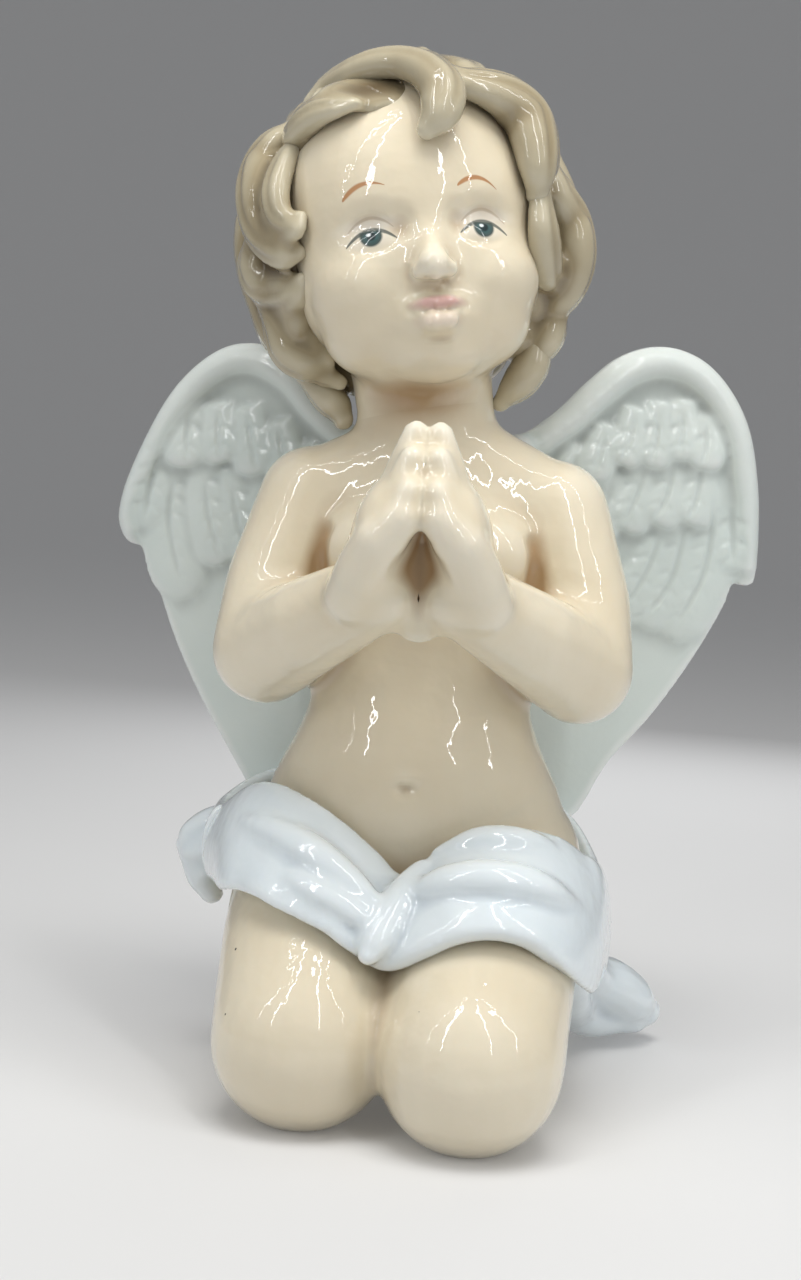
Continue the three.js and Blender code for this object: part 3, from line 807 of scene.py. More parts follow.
crease([(-4.0, -18.6), (-2.5, -19.1), (-1.2, -18.95), (0, -19.3), (1.2, -18.95), (2.5, -19.1),
        (4.0, -18.6)], 0.95, 0.85, 0.3)
dent(0, -15.7, (1.2, 3, 1.3), (0, 0.5, 0))
dent(0, -23.5, (4.2, 4, 1.5), (0, 0.7, 0))
headTurn = np.array(headPlace)[:3, :3]
writePoints(headClay, points @ headTurn.T + np.array(headPlace.translation))
relax(headClay, 3, keep=0.85, mask=headMask)
# the glaze darkens the hollows (pooled glaze and painted shade) and the painted shade patches
paintGroove(headClay, (hollows(headClay, int(60 / coarse ** 2)) + paintedShadeWash(readPoints(headClay))) * 0.001)
castings["head"] = headClay

face = {  # painted under the glaze; x and height in the head's own millimetres
    # ends, arch, widths
    "brows": [((-14.2, 2.0), (-6.9, 3.4), 1.5, (0.62, 0.16)), ((5.6, 2.3), (13.0, 1.7), 1.7, (0.60, 0.16))],
    "lashes": [((5.5, -5.7), (14.3, -6.1), 2.25, (0.42, 0.40))],
    # painted shade along the fold over each upper lid
    "folds": [((5.9, -3.6), (14.1, -4.0), 2.3, (0.28, 0.28))],
    "iris": [  # half-size, softness, colour, strength; one over the other
        ((1.9, 1.85), 0.10, (0.030, 0.060, 0.058, 1), 0.95),
        ((1.35, 1.3), 0.25, (0.050, 0.110, 0.110, 1), 0.9), ((0.8, 0.8), 0.2, (0.014, 0.026, 0.028, 1), 0.95),
    ],
    "glint": ((-0.42, 0.3), (0.40, 0.32)), "irisAt": (9.95, -4.75), "lidHighlight": (10.0, -2.9),
    "white": (10.0, -5.3), "lidEdge": -3.8, "front": -9.0,
    "upperLip": ((0.1, -17.9), (4.2, 1.15)), "lowerLip": ((0.1, -20.9), (3.5, 1.2)),
    "browColour": (0.40, 0.165, 0.045, 1), "lashColour": (0.055, 0.075, 0.068, 1),
    "lidShadeColour": (0.36, 0.27, 0.18, 1),
    "upperColour": (0.60, 0.33, 0.31, 1), "lowerColour": (0.66, 0.45, 0.38, 1), "pale": (0.80, 0.76, 0.68, 1),
    "glintColour": (0.85, 0.9, 0.9, 1),
}
facePaint, faceBase, faceShader = glaze("faceGlaze", skinLook)
where = addNode(facePaint, "TexCoord", -1300, 900)
ruler = addNode(facePaint, "Mapping", -1100, 900)
shift, turn, size = (toRow @ headPlace).inverted().decompose()
ruler.inputs["Location"].default_value = shift
ruler.inputs["Rotation"].default_value = turn.to_euler()
ruler.inputs["Scale"].default_value = size
link(facePaint, where.outputs["Object"], ruler.inputs["Vector"])
axes = addNode(facePaint, "SeparateXYZ", -900, 900)
link(facePaint, ruler.outputs["Vector"], axes.inputs[0])
faceX, faceY, faceZ = axes.outputs


def reckon(operation, *values):
    return calc(facePaint, operation, *values)


mirrorX = reckon("ABSOLUTE", faceX)
inFront = reckon("LESS_THAN", faceY, face["front"])


def oval(x, centre, half, soft):
    across = reckon("DIVIDE", reckon("SUBTRACT", x, centre[0]), half[0])
    up = reckon("DIVIDE", reckon("SUBTRACT", faceZ, centre[1]), half[1])
    reach = reckon("SQRT", reckon("ADD", reckon("POWER", across, 2), reckon("POWER", up, 2)))
    return faded(facePaint, reach, 1 + soft, 1 - soft)


def stroke(x, start, end, arch, widths):  # one pull of the brush, arched, from one width to another
    length = math.dist(start, end)
    ux, uz = (end[0] - start[0]) / length, (end[1] - start[1]) / length
    dx, dz = reckon("SUBTRACT", x, start[0]), reckon("SUBTRACT", faceZ, start[1])
    t = reckon("DIVIDE", reckon("ADD", reckon("MULTIPLY", dx, ux), reckon("MULTIPLY", dz, uz)), length)
    off = reckon("SUBTRACT", reckon("MULTIPLY", dz, ux), reckon("MULTIPLY", dx, uz))
    hump = reckon("MULTIPLY", reckon("MULTIPLY", t, reckon("SUBTRACT", 1.0, t)), 4.0)
    hump = reckon("MAXIMUM", hump, 0.0)
    width = reckon("MULTIPLY_ADD", t, widths[1] - widths[0], widths[0])
    width = reckon("MAXIMUM", reckon("MULTIPLY", width, reckon("POWER", hump, 0.35)), 0.02)
    gap = reckon("ABSOLUTE", reckon("SUBTRACT", off, reckon("MULTIPLY", hump, arch)))
    near = faded(facePaint, reckon("DIVIDE", gap, width), 1.35, 0.7)
    return reckon("MULTIPLY", near, reckon("GREATER_THAN", hump, 0.01))


def brushOn(colour, mask, strength):
    global faceBase
    share = reckon("MULTIPLY", reckon("MULTIPLY", mask, strength), inFront)
    faceBase = mixColour(facePaint, share, faceBase, colour, 400, 500)


# painted highlight on each upper lid; the next line paints the paler whites of the eyes
brushOn(face["pale"], oval(mirrorX, face["lidHighlight"], (4.8, 1.3), 0.5), 0.6)
brushOn(face["pale"], oval(mirrorX, face["white"], (4.0, 1.4), 0.4), 0.45)
brushOn(face["upperColour"], oval(faceX, *face["upperLip"], 0.35), 0.8)
brushOn(face["lowerColour"], oval(faceX, *face["lowerLip"], 0.5), 0.3)
underLid = reckon("LESS_THAN", faceZ, face["lidEdge"])
for half, soft, colour, strength in face["iris"]:
    brushOn(colour, reckon("MULTIPLY", oval(mirrorX, face["irisAt"], half, soft), underLid), strength)
for s in (-1, 1):
    glintAt = (s * face["irisAt"][0] + face["glint"][0][0], face["irisAt"][1] + face["glint"][0][1])
    brushOn(face["glintColour"], oval(faceX, glintAt, face["glint"][1], 0.3), 0.85)
# painted shade in the lid folds
for row in face["folds"]:
    brushOn(face["lidShadeColour"], stroke(mirrorX, *row), 0.45)
for row in face["lashes"]:
    brushOn(face["lashColour"], stroke(mirrorX, *row), 0.85)
for row in face["brows"]:
    brushOn(face["browColour"], stroke(faceX, *row), 0.85)
link(facePaint, faceBase, faceShader.inputs["Base Color"])

for name, mesh in castings.items():
    asPiece(closed(mesh), camel(name), [name], facePaint if name == "head" else skinPaint)
print("body and head done")

# Hair.

hair = {
    "turn": (-7, -7, 9), "skull": ((0, 1, 3), (24.3, 25.5, 26.5)), "cap": ((0, 5.6, 4.4), (27.0, 25.6, 26.0)),
    "crownSpot": (178, 62),
    "voxel": 0.62, "relax": 8, "fuller": 1.07,
    "padding": {  # what fills the space under the locks
        "hair_crown": [((-7.6, -15.0, 21.4), (9.8, 1.9, 5.6), (-46, 0, 0))],
        "right_side_curls": [((-21.8, 4.5, -3.5), (5.6, 11, 19)), ((-19.6, 4.5, -19), (4.8, 6, 6))],
        "left_side_curls": [((21.8, 3.5, -4), (5.6, 10, 17)), ((19.8, 3.5, -19), (4.6, 6, 5.6))],
        "nape_curls": [((0, 11, -20), (19, 9.5, 10))],
    },
    "forelock": [(-17.4, -3.4, 23.2, 1.8), (-13.9, -5.8, 26.0, 2.4), (-9.6, -11.0, 27.0, 2.7),
                 (-5.5, -14.4, 27.2, 2.9), (-1.4, -17.2, 26.3, 3.1), (2.0, -20.5, 23.6, 3.5),
                 (3.9, -23.1, 19.5, 3.9), (3.0, -25.0, 15.1, 3.5), (0.6, -24.9, 12.3, 2.0)],
    "crown": [
        [(-10.9, -19.4, 18.6, 1.2), (-13.6, -17.7, 18.9, 2.3), (-16.4, -15.0, 19.0, 3.0),
         (-19.0, -11.6, 18.2, 3.2), (-20.9, -8.0, 17.0, 2.8), (-21.9, -0.9, 17.3, 1.8)],
        [(5.0, -17.3, 24.1, 2.4), (8.2, -18.8, 22.3, 3.0), (12.8, -17.7, 21.2, 4.0), (17.0, -15.4, 19.7, 5.0),
                       (20.2, -14.1, 16.7, 5.4), (21.1, -15.7, 11.7, 5.0), (21.2, -16.6, 6.6, 4.0),
                       (20.9, -15.3, 2.9, 2.2)],
    ],
    "right_side_curls": [
        [(-20.6, -1.4, 19.0, 2.4), (-23.9, -0.8, 16.7, 4.0), (-26.4, 0.2, 13.2, 4.8), (-28.0, -2.6, 7.6, 5.0),
              (-28.1, -3.6, 2.4, 4.4), (-26.7, -5.5, -1.8, 3.8), (-24.1, -9.3, -4.9, 3.2),
              (-21.6, -10.0, -5.2, 1.6)],
        [(-20.8, -6.7, 15.3, 1.8), (-23.3, -8.1, 11.4, 2.8), (-25.3, -10.1, 5.8, 3.2),
         (-24.9, -11.1, 1.1, 3.0), (-22.6, -12.9, -1.4, 2.5), (-21.2, -13.1, 0.3, 1.5)],
        [(-27.8, 3.2, 0.2, 3.0), (-28.6, 3.9, -3.8, 4.2), (-27.9, 3.0, -7.8, 4.2), (-25.2, 0.6, -10.1, 4.0),
              (-22.5, -5.1, -11.3, 3.4), (-20.8, -7.8, -9.7, 1.8)],
        [(-25.9, 5.3, -11.9, 3.0), (-24.8, 3.8, -15.5, 4.0), (-23.4, 3.6, -20.1, 4.6),
         (-20.5, 2.6, -22.9, 4.2), (-17.7, 1.5, -22.8, 3.0), (-16.9, 1.2, -20.4, 1.8)],
        [(-25.5, 9.0, 14.0, 3.0), (-27.8, 10.5, 6.0, 4.6), (-28.0, 11.5, -2.0, 5.0),
         (-26.0, 12.0, -10.0, 5.0), (-24.1, 11.0, -17.0, 4.4), (-20.3, 9.5, -21.5, 2.6)],
        [(-19.1, 4.6, -24.1, 2.4), (-16.7, 3.7, -25.4, 2.8), (-14.4, 3.2, -26.6, 1.6)],
    ],
    "left_side_curls": [
        [(24.2, -7.6, 9.7, 2.6), (25.8, -8.2, 5.0, 3.8), (28.5, -4.7, 0.8, 4.8), (29.4, -4.0, -4.1, 5.0),
              (29.0, -3.1, -8.5, 4.8), (27.5, -2.0, -12.4, 4.2), (25.4, -1.2, -14.7, 3.2),
              (23.8, -0.9, -13.7, 1.8)],
        [(21.8, -13.6, 3.8, 2.2), (21.8, -14.8, -1.9, 3.2), (22.4, -12.3, -6.7, 3.6), (23.7, -7.6, -9.8, 3.2),
         (25.8, -3.4, -10.5, 1.8)],
        [(26.1, 0.7, -13.0, 3.0), (25.1, 0.6, -18.0, 3.8), (23.9, 0.9, -21.1, 3.8), (21.9, 1.6, -23.7, 2.6)],
        [(26.0, 3.0, 15.0, 3.2), (28.4, 5.5, 7.0, 4.8), (28.8, 7.5, -1.0, 5.2), (27.6, 8.5, -9.0, 5.0),
              (25.6, 9.5, -16.0, 4.4), (22.6, 8.5, -21.0, 2.6)],
    ],
    "nape_curls": [
        [(-20.2, 8.0, -23.3, 2.8), (-17.1, 7.4, -27.7, 3.8), (-14.9, 6.9, -30.6, 3.6),
         (-13.9, 6.4, -32.9, 2.2)],
        [(22.2, 1.4, -20.1, 3.0), (21.6, 1.9, -24.1, 4.2), (19.3, 2.4, -27.6, 4.2), (17.0, 2.7, -29.9, 3.2),
         (15.2, 3.0, -31.6, 1.8)],
    ],
    "over": [  # heading and height where each combed lock from the crown ends, with its radius and wave
        (-84, 34, 4.4, 3), (-66, 46, 4.0, -2), (-44, 56, 4.0, 2), (-14, 58, 3.8, -2), (16, 56, 4.2, 2),
        (42, 46, 4.6, -3), (66, 34, 4.8, 3), (88, 22, 4.8, -3), (112, 6, 5.0, 5), (134, -12, 5.0, -6),
        (154, -26, 5.0, 6), (174, -30, 5.0, -6), (194, -28, 5.0, 6), (214, -20, 5.0, -6), (236, -4, 5.0, 6),
        (258, 18, 4.8, -4),
    ],
    # heading, start, end
    "nape": [(118, -18, -58), (138, -30, -64), (160, -38, -66), (182, -40, -66), (204, -38, -66),
             (226, -30, -62)],
    # painted shade under the forelock: where, how wide, how deep
    "lines": 0.42, "shade": ((-7.0, -16.5, 21.8), (10.5, 6, 6), 0.5),
}
hairLook = {
    "colour": (0.30, 0.245, 0.150, 1), "cloudy": (0.37, 0.315, 0.205, 1), "deep": (0.10, 0.068, 0.034, 1),
    "thin": (0.56, 0.51, 0.38, 1), "pool": (-0.00002, 0.00045), "roughness": 0.18, "coat": 1.0,
    "coatRoughness": 0.06,
    "translucent": 0.05, "ripple": 240.0, "rippleDepth": 0.2, "specks": 0,
}
hairPaint = glaze("hairGlaze", hairLook)[0]
skullCentre, skullHalf = (np.array(row, float) for row in hair["skull"])


def heading(azimuth, elevation):
    a, e = math.radians(azimuth), math.radians(elevation)
    return np.array((math.sin(a) * math.cos(e), -math.cos(a) * math.cos(e), math.sin(e)))


# a lock over the head from one heading to another
def combed(start, end, radius, wave, lift=1.8, steps=16):
    a, b = heading(*start), heading(*end)
    angle = math.acos(np.clip(a @ b, -1, 1))
    side = np.cross(a, b) / max(np.linalg.norm(np.cross(a, b)), 1e-6)
    rows = []
    for t in np.linspace(0, 1, steps):
        d = (a * math.sin((1 - t) * angle) + b * math.sin(t * angle)) / math.sin(angle)
        d = d + side * math.radians(wave) * math.sin(2 * math.pi * t) * t * 1.6
        d /= np.linalg.norm(d)
        tip = 1 if t < 0.8 else 1 - 0.6 * ((t - 0.8) / 0.2) ** 1.5
        size = radius * (0.45 + 0.55 * math.sin(math.pi * min(0.5, t)) ** 0.6) * tip
        rows.append((*(skullCentre + d * (skullHalf + lift - 0.25 * size)), size))
    return np.array(rows)


def awayFromSkull(path):
    away = (path[:, :3] - skullCentre) / skullHalf ** 2
    return away / np.linalg.norm(away, axis=1, keepdims=True)


def carveLocks(points, normals, locks, depth):  # two comb lines along each lock
    for path in locks:
        away = awayFromSkull(path)
        along = np.gradient(path[:, :3], axis=0)
        along /= np.maximum(np.linalg.norm(along, axis=1, keepdims=True), 1e-9)
        across = np.cross(along, away)
        for share in (-0.42, 0.3):
            line = path[:, :3] + (across * share + away * 0.75) * path[:, 3:]
            groove(points, normals, line[1:-1], 1.25, depth, 0.25)


def hairPiece(name, node, locks, balls=(), flat=0.78):
    clay = bmesh.new()
    for ball in [*balls, *hair["padding"].get(node, [])]:
        addBall(clay, *ball, detail=44)
    locks = [path * (1, 1, 1, hair["fuller"]) for path in locks]
    for path in locks:
        addStrand(clay, path, awayFromSkull(path), flat=flat, sides=18)
        for row in (path[0], path[-1]):
            addBall(clay, row[:3], (row[3] * 0.92,) * 3, detail=14)
    mesh = kneaded(clay, name, hair["voxel"])
    relax(mesh, int(hair["relax"] / coarse), keep=0.9)
    points, normals = readPoints(mesh), readNormals(mesh)
    carveLocks(points, normals, locks, hair["lines"])
    writePoints(mesh, points)
    relax(mesh, 2, keep=0.7)
    paintedShade = hollows(mesh, int(16 / coarse))
    # painted shade under the forelock, on top of the darker hollows
    if node == "hair_crown":
        centre, reach, depth = hair["shade"]
        paintedShade = paintedShade + falloff(np.linalg.norm((readPoints(mesh) - centre) / reach, axis=1)) * depth
    paintGroove(mesh, paintedShade * 0.001)
    mesh.transform(headed(hair["turn"]))
    asPiece(mesh, name, [node], hairPaint)


spot = hair["crownSpot"]
top = [combed(spot, (a, e), r, w) for a, e, r, w in hair["over"]]
hairPiece("hairCrown", "hair_crown", top + [smoothPath(path, 5) for path in hair["crown"]], [hair["cap"]])
hairPiece("forelock", "forelock", [smoothPath(hair["forelock"], 5)], flat=0.95)
for node in ("right_side_curls", "left_side_curls"):
    hairPiece(camel(node), node, [smoothPath(path, 5) for path in hair[node]])
napes = [combed((a, start), (a + 6, end), 4.6, 10, lift=3.4, steps=10) for a, start, end in hair["nape"]]
hairPiece("napeCurls", "nape_curls", napes + [smoothPath(path, 5) for path in hair["nape_curls"]])

print("hair done")

# Wings.

wing = {
    "lean": (15.0, 0.30), "plate": 1.7, "rimRadius": 3.3, "voxel": 0.52, "relax": 9, "barbStep": 3.6,
    "barb": (0.9, 0.2), "spine": (1.0, 0.34),
    "root": [(7.5, 13.5, 66, 3.0), (8.5, 14.5, 84, 4.0), (10, 15.5, 104, 4.2), (15, 18, 118, 3.6)],
    # the edge against the back, in x and z like all that follow
    "inner": [(20, 52), (10, 66), (7, 90), (8, 108), (12, 117)],
    "right": {
        "outline": [(18.0, 120.2), (22.3, 123.8), (28.4, 130.5), (34.0, 134.5), (39.5, 135.4), (43.9, 134.0),
                    (49.6, 130.0), (54.5, 124.2), (58.7, 115.9), (62.4, 108.1), (64.0, 101.7), (63.8, 98.2),
                    (62.0, 95.4), (57.6, 94.0), (56.0, 89.1), (52.8, 80.5), (49.1, 72.6), (44.0, 63.7),
                    (38.9, 56.0), (34.6, 49.5), (32.8, 46.0)],
        "rim": [(14, 116), (18.9, 119.0), (24.9, 124.0), (29.6, 129.0), (34.9, 132.0), (39.4, 132.6),
                (43.8, 131.2), (48.8, 127.2), (53.1, 121.6), (57.3, 113.5), (60.4, 106.0), (61.6, 100.6),
                (60.8, 97.6)],
        "feathers": [  # layer, half-width, then foot, middle and tip
            (3, 4.6, (54.4, 118), (57.6, 108), (58.8, 98)),
            (3, 5.6, (52.9, 111.9), (53.6, 99.3), (49.4, 85.0)),
            (2, 4.6, (47.3, 112.2), (45.4, 101.8), (41.8, 92.6)),
            (2, 4.4, (41.7, 111.4), (39.5, 101.6), (36.5, 94.4)),
            (2, 4.2, (36.1, 109.9), (33.7, 101.4), (30.8, 95.1)),
            (2, 4.2, (30.5, 108), (28, 101), (25.5, 95)),
            (1, 4.2, (49.9, 123.8), (50.8, 117.0), (50.2, 111.2)),
            (1, 4.0, (44.7, 123.8), (44.3, 118.0), (43.1, 112.4)),
            (1, 3.9, (38.8, 123.5), (37.5, 117.2), (35.5, 110.6)),
            (1, 3.8, (32.3, 121.1), (31.0, 115.7), (28.8, 110.6)),
            (1, 3.6, (26.5, 117), (25, 112), (23, 107.5)),
        ],
    },
    "left": {
        "outline": [(13.7, 120.6), (21.8, 125.6), (28.0, 132.6), (33.7, 137.8), (41.0, 140.1), (47.9, 138.8),
                    (53.9, 133.8), (58.9, 125.5), (61.7, 114.0), (63.4, 97.9), (62.0, 94.4), (58.4, 94.9),
                    (56.1, 87.6), (50.6, 77.4), (43.8, 67.2), (36.3, 58.2), (29.3, 46.8)],
        "rim": [(12, 116), (16.6, 118.5), (23.7, 123.9), (29.9, 130.3), (35.1, 134.7), (41.1, 136.6),
                (47.3, 135.3), (52.6, 130.9), (56.9, 123.8), (59.4, 113.8), (60.4, 105.2), (60.8, 97.8)],
        "feathers": [
            (3, 4.0, (57.0, 112.0), (58.0, 104.0), (58.6, 97.0)),
            (3, 5.6, (53.8, 117.8), (53.2, 98.0), (46.9, 83.6)),
            (3, 5.0, (49.2, 110), (46.5, 95.2), (40.6, 85.9)),
            (3, 4.6, (44.6, 106.9), (41.1, 95.6), (36.0, 87.0)),
            (2, 4.4, (50.9, 119.6), (50.4, 111.4), (48.7, 106.0)),
            (2, 4.3, (45.7, 118.3), (44.3, 111.1), (42.0, 105.7)),
            (2, 4.2, (40.2, 117.8), (38.2, 110.2), (35.8, 104.2)),
            (2, 4.2, (34.4, 115), (32, 108), (29.4, 102)),
            (1, 3.6, (50.9, 127.2), (51.4, 121.8), (50.8, 116.8)),
            (1, 3.4, (46.1, 129.7), (46.5, 123.5), (46.2, 118.2)),
            (1, 3.4, (41.6, 129.1), (41.6, 122.0), (40.8, 116.6)),
            (1, 3.3, (37.1, 127.7), (36.4, 121.7), (34.8, 116.8)),
            (1, 3.3, (31.8, 124.1), (30.9, 119.2), (29.0, 113.6)),
            (1, 3.2, (26.6, 119.8), (25.4, 114.8), (23.6, 110)),
        ],
    },
    # how far a feather's foot and tip stand off the plate
    "layers": {1: (0.0, 1.0), 2: (-0.3, 0.6), 3: (-0.7, 0.2)},
    "wider": 1.2, "thick": 0.95,
}
wingLook = {
    "colour": (0.58, 0.64, 0.61, 1), "cloudy": (0.64, 0.69, 0.655, 1), "deep": (0.30, 0.33, 0.31, 1),
    "thin": (0.74, 0.76, 0.74, 1), "pool": (0.0, 0.00038), "roughness": 0.3, "coat": 0.6,
    "coatRoughness": 0.12,
    "translucent": 0.05, "ripple": 300.0, "rippleDepth": 0.12, "specks": 0,
}
wingPaint = glaze("wingGlaze", wingLook)[0]


def onWing(s, x, z, lift):
    foot, slope = wing["lean"]
    return (s * x, foot + slope * x - lift, z)


def featherRows(s, feather, face):
    layer, half, *spine = feather
    low, high = wing["layers"][layer]
    rows = []
    path = smoothPath([(x, z) for x, z in spine], 8)
    for t, (x, z) in zip(np.linspace(0, 1, len(path)), path):
        lift = face * (wing["plate"] + low + (high - low) * t)
        tip = 1 if t < 0.76 else math.sqrt(max(0.06, 1 - ((t - 0.76) / 0.26) ** 2))
        size = wing["wider"] * half * (0.7 + 0.3 * min(t / 0.6, 1)) * tip
        rows.append((*onWing(s, x, z, lift), size))
    return np.array(rows)


def buildWing(side, s):
    sheet = wing[side]
    clay = bmesh.new()
    outline = smoothPath(sheet["outline"] + wing["inner"] + sheet["outline"][:1], 4)[:-1]
    edge = [clay.verts.new(onWing(s, x, z, wing["plate"])) for x, z in outline]
    face = bmesh.ops.contextual_create(clay, geom=edge)["faces"]
    grown = bmesh.ops.extrude_face_region(clay, geom=face)["geom"]
    bmesh.ops.translate(clay, verts=[v for v in grown if isinstance(v, bmesh.types.BMVert)],
                        vec=(0, 2 * wing["plate"], 0))
    bmesh.ops.triangulate(clay, faces=clay.faces)
    out = (s * wing["lean"][1], -1, 0)
    rim = smoothPath([(*onWing(s, x, z, 0), 1) for x, z in sheet["rim"]], 5)
    count = len(rim)
    rim[:, 3] = wing["rimRadius"] * (0.85 + 0.25 * np.sin(np.linspace(0, math.pi, count)))
    addStrand(clay, rim, out, flat=1.05, sides=18)
    addBall(clay, rim[-1, :3], (rim[-1, 3] * 0.95,) * 3)
    addChain(clay, [(s * x, y, z, r) for x, y, z, r in wing["root"]])
    for front in (1, -1):
        for feather in sheet["feathers"]:
            rows = featherRows(s, feather, front)
            addStrand(clay, rows, out, flat=wing["thick"] / feather[1], sides=20)
    mesh = kneaded(clay, side + "Wing", wing["voxel"])
    relax(mesh, int(wing["relax"] / coarse), keep=0.85)
    points, normals = readPoints(mesh), readNormals(mesh)
    for front in (1, -1):
        for feather in sheet["feathers"]:
            rows = featherRows(s, feather, front)
            rows[:, 1] -= front * 1.2
            near = np.linalg.norm(points - rows[len(rows) // 2, :3], axis=1) < 22
            patch, lean = points[near], normals[near]
            groove(patch, lean, rows[2:-1], *wing["spine"], 0.3)
            half, along = feather[1], rows[-1, :3] - rows[0, :3]
            length = np.linalg.norm(along)
            across = np.array((along[2], 0, -along[0])) / length
            for k in range(1, int(length / wing["barbStep"])):
                start = rows[int(len(rows) * k * wing["barbStep"] / length), :3]
                for way in (-1, 1):
                    end = start + (across * way * 0.8 + along / length * 0.55) * half
                    groove(patch, lean, [start + (end - start) * 0.15, end], *wing["barb"], 0.3)
            points[near] = patch
    writePoints(mesh, points)
    paintGroove(mesh, hollows(mesh, int(16 / coarse)) * 0.001)
    asPiece(mesh, side + "Wing", [side + "_wing"], wingPaint)


for side, s in (("right", -1), ("left", 1)):
    buildWing(side, s)

print("wings done")

# Drape.

drape = {
    "front": [  # top and bottom edge of the band, from the right hip across the lap to the left hip
        ((-35.4, 0.2, 48.4), (-35.2, -8.0, 36.8)), ((-29.3, -7.9, 53.6), (-29.3, -23.9, 39.0)),
        ((-22.4, -15.6, 53.6), (-22.8, -30.7, 38.8)), ((-17.0, -19.0, 51.0), (-15.5, -35.3, 36.4)),
        ((-10.0, -22.0, 47.4), (-9.7, -37.2, 33.6)), ((-5.2, -23.4, 44.1), (-5.4, -38.0, 30.9)),
        ((0.5, -23.8, 42.2), (-1.4, -38.4, 29.4)), ((5.5, -23.4, 45.4), (4.2, -40.4, 32.5)),
        ((10.3, -21.8, 48.9), (9.5, -41.5, 35.6)), ((16.9, -19.6, 50.5), (15.3, -41.5, 37.0)),
        ((23.8, -16.6, 49.8), (21.3, -40.0, 36.0)), ((29.0, -12.6, 46.9), (26.6, -36.5, 32.4)),
        ((33.0, -7.0, 43.0), (31.4, -27.2, 27.4)), ((34.6, 0.5, 42.0), (34.2, -13.0, 24.2)),
    ],
    "back": [
        ((-35.0, -3.5, 49.4), (-35.6, -8.0, 36.8)), ((-34.6, 6.5, 50.4), (-36.4, 5.0, 33.5)),
        ((-28.5, 18.0, 53.4), (-31.5, 20.0, 32.5)), ((-16.0, 25.0, 54.8), (-18.5, 29.0, 33.5)),
        ((0, 25.0, 54.0), (0, 29.0, 34.5)), ((16.0, 25.0, 53.6), (18.5, 29.0, 32.0)),
        ((27.0, 18.5, 49.0), (30.0, 20.0, 28.0)), ((32.4, 9.0, 43.5), (33.8, 5.0, 24.5)),
        ((33.2, 1.5, 41.5), (33.2, -11.0, 25.0)),
    ],
    "folds": [  # raised folds of the front
        [(3.4, -26.9, 44.3, 1.7), (1.0, -30.4, 41.2, 2.4), (-1.2, -34.4, 37.6, 2.6), (-3.4, -38.0, 34.0, 2.4),
         (-4.6, -39.4, 31.4, 1.7)],
        [(2.0, -31.6, 40.8, 1.6), (8.0, -33.8, 44.0, 2.5), (16.0, -34.4, 45.2, 2.8), (24.0, -31.6, 43.4, 2.6),
         (31.0, -22.5, 37.5, 1.8)],
        [(-34.6, -4.6, 45.8, 1.7), (-26.6, -19.2, 48.6, 2.4), (-17.4, -27.8, 46.8, 2.6),
         (-10.0, -31.6, 42.8, 2.3), (-4.0, -34.6, 38.2, 1.7)],
        [(6.0, -25.0, 46.6, 1.4), (13.0, -24.4, 49.6, 2.2), (21.0, -22.4, 49.4, 2.2),
         (28.0, -17.4, 46.0, 1.5)],
        [(-2.6, -36.8, 35.2, 1.4), (-9.0, -35.6, 38.6, 2.0), (-17.0, -32.4, 41.4, 2.1),
         (-25.0, -25.0, 42.2, 1.6)],
    ],
    "backFolds": [
        [(-33.0, 13.0, 45, 1.8), (-18.0, 27.4, 46.5, 2.4), (0, 28.6, 45.0, 2.4), (18.0, 27.8, 42.0, 2.3),
         (33.0, 14.0, 36.0, 1.8)],
        [(-34.0, 12.0, 38, 1.6), (-20.0, 28.0, 39.5, 2.0), (-4.0, 30.0, 38.5, 1.6)],
    ],
    "hipTail": [
        [(-32.5, 4.5, 45.0, 3.8), (-37.5, 6.4, 44.2, 4.4), (-41.6, 7.2, 41.6, 4.0), (-43.4, 7.6, 39.4, 2.6)],
        [(-34.5, 5.0, 42.0, 4.8), (-39.4, 7.0, 38.4, 5.4), (-40.0, 7.4, 34.0, 4.4), (-38.2, 7.4, 30.4, 2.6)],
        [(-33.5, 5.0, 46.5, 2.2), (-37.5, 5.2, 45.2, 2.0), (-41.0, 6.2, 43.6, 1.4)],
    ],
    "floorTail": [
        [(30.6, 3.0, 31.0, 4.2), (31.4, 11.0, 25.0, 5.4), (32.2, 19.0, 18.6, 6.2), (35.0, 26.3, 14.4, 6.9),
         (40.0, 31.5, 11.6, 7.6), (44.6, 34.3, 8.6, 6.6), (47.4, 35.8, 6.4, 4.4)],
        [(30.8, 8.0, 22.0, 3.6), (31.4, 17.0, 13.0, 4.8), (33.0, 25.0, 8.0, 5.0), (36.6, 29.4, 5.6, 4.8),
         (41.5, 32.6, 5.2, 4.2), (45.6, 34.2, 4.6, 3.4)],
        [(34.0, 25.0, 15.5, 2.2), (40.0, 29.5, 14.4, 2.2), (45.0, 33.0, 11.0, 1.8)],
    ],
    "thick": 2.9, "hem": 2.2, "fuller": 1.3, "raised": (0, -0.35, 0.6), "voxel": 0.62, "relax": 12,
}
clothLook = {
    "colour": (0.69, 0.755, 0.785, 1), "cloudy": (0.72, 0.78, 0.805, 1), "deep": (0.42, 0.49, 0.55, 1),
    "thin": (0.80, 0.85, 0.865, 1), "pool": (0.00005, 0.0007), "roughness": 0.15, "coat": 1.0,
    "coatRoughness": 0.05,
    "translucent": 0.06, "ripple": 220.0, "rippleDepth": 0.18, "specks": 170.0,
}
clothPaint = glaze("clothGlaze", clothLook)[0]


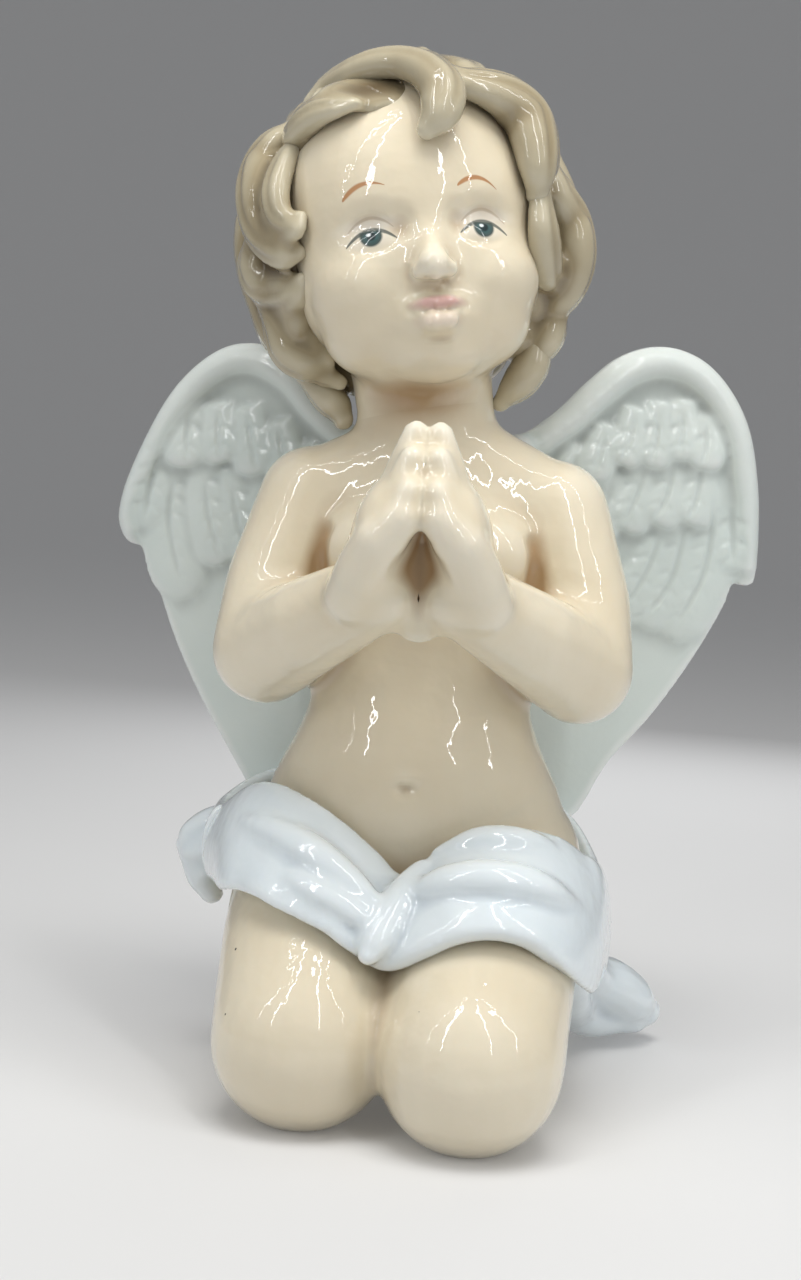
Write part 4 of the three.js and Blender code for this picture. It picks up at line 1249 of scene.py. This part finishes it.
def addBand(clay, edges, outward):  # a thick band with rolled hems
    tops = smoothPath([top for top, bottom in edges], 5)
    bottoms = smoothPath([bottom for top, bottom in edges], 5)
    middle = (tops + bottoms) / 2
    along = np.gradient(middle, axis=0)
    out = np.cross(tops - bottoms, along)
    out /= np.linalg.norm(out, axis=1, keepdims=True)
    out *= np.sign((out * outward(middle)).sum(1, keepdims=True))
    half = np.linalg.norm(tops - bottoms, axis=1) / 2
    addStrand(clay, np.column_stack([middle + out * 0.6, half]), out, flat=drape["thick"] / half, sides=28)
    for hem, size, lift in ((tops, 0.75, -0.3), (bottoms, 1.0, 0.0)):
        inwards = (middle - hem) / half[:, None]
        radius = drape["hem"] * size
        roll = np.column_stack([hem + inwards * radius + out * lift, np.full(len(hem), radius)])
        addStrand(clay, roll, out, sides=14)


def drapePiece(name, node, strands, bands=(), flat=0.8):
    clay = bmesh.new()
    for edges, outward in bands:
        addBand(clay, edges, outward)
    for rows in strands:
        path = smoothPath(rows, 5)
        if name == "drapeFront":
            path = path * (1, 1, 1, drape["fuller"]) + (*drape["raised"], 0)
        addStrand(clay, path, (0, -0.5, 0.8) if name == "drapeFront" else (0.2, 0.1, 1), flat=flat, sides=16)
        for row in (path[0], path[-1]):
            addBall(clay, row[:3], (row[3] * 0.9, row[3] * 0.9, row[3] * 0.8), detail=16)
    mesh = kneaded(clay, name, drape["voxel"])
    relax(mesh, int(drape["relax"] / coarse), keep=0.9)
    points = readPoints(mesh)
    points[:, 2] = np.maximum(points[:, 2], 0.02)
    writePoints(mesh, points)
    paintGroove(mesh, hollows(mesh, int(20 / coarse)) * 0.001)
    asPiece(mesh, name, [node], clothPaint)


drapePiece("drapeFront", "drape_front", drape["folds"],
           [(drape["front"], lambda m: np.array((0, -0.6, 0.8)) + m * (0.02, 0, 0))])
drapePiece("drapeBack", "drape_back", drape["backFolds"], [(drape["back"], lambda m: m * (1, 1, 0))])
drapePiece("hipTail", "drape_hip_tail", drape["hipTail"])
drapePiece("floorTail", "drape_floor_tail", drape["floorTail"])
print("drape done")
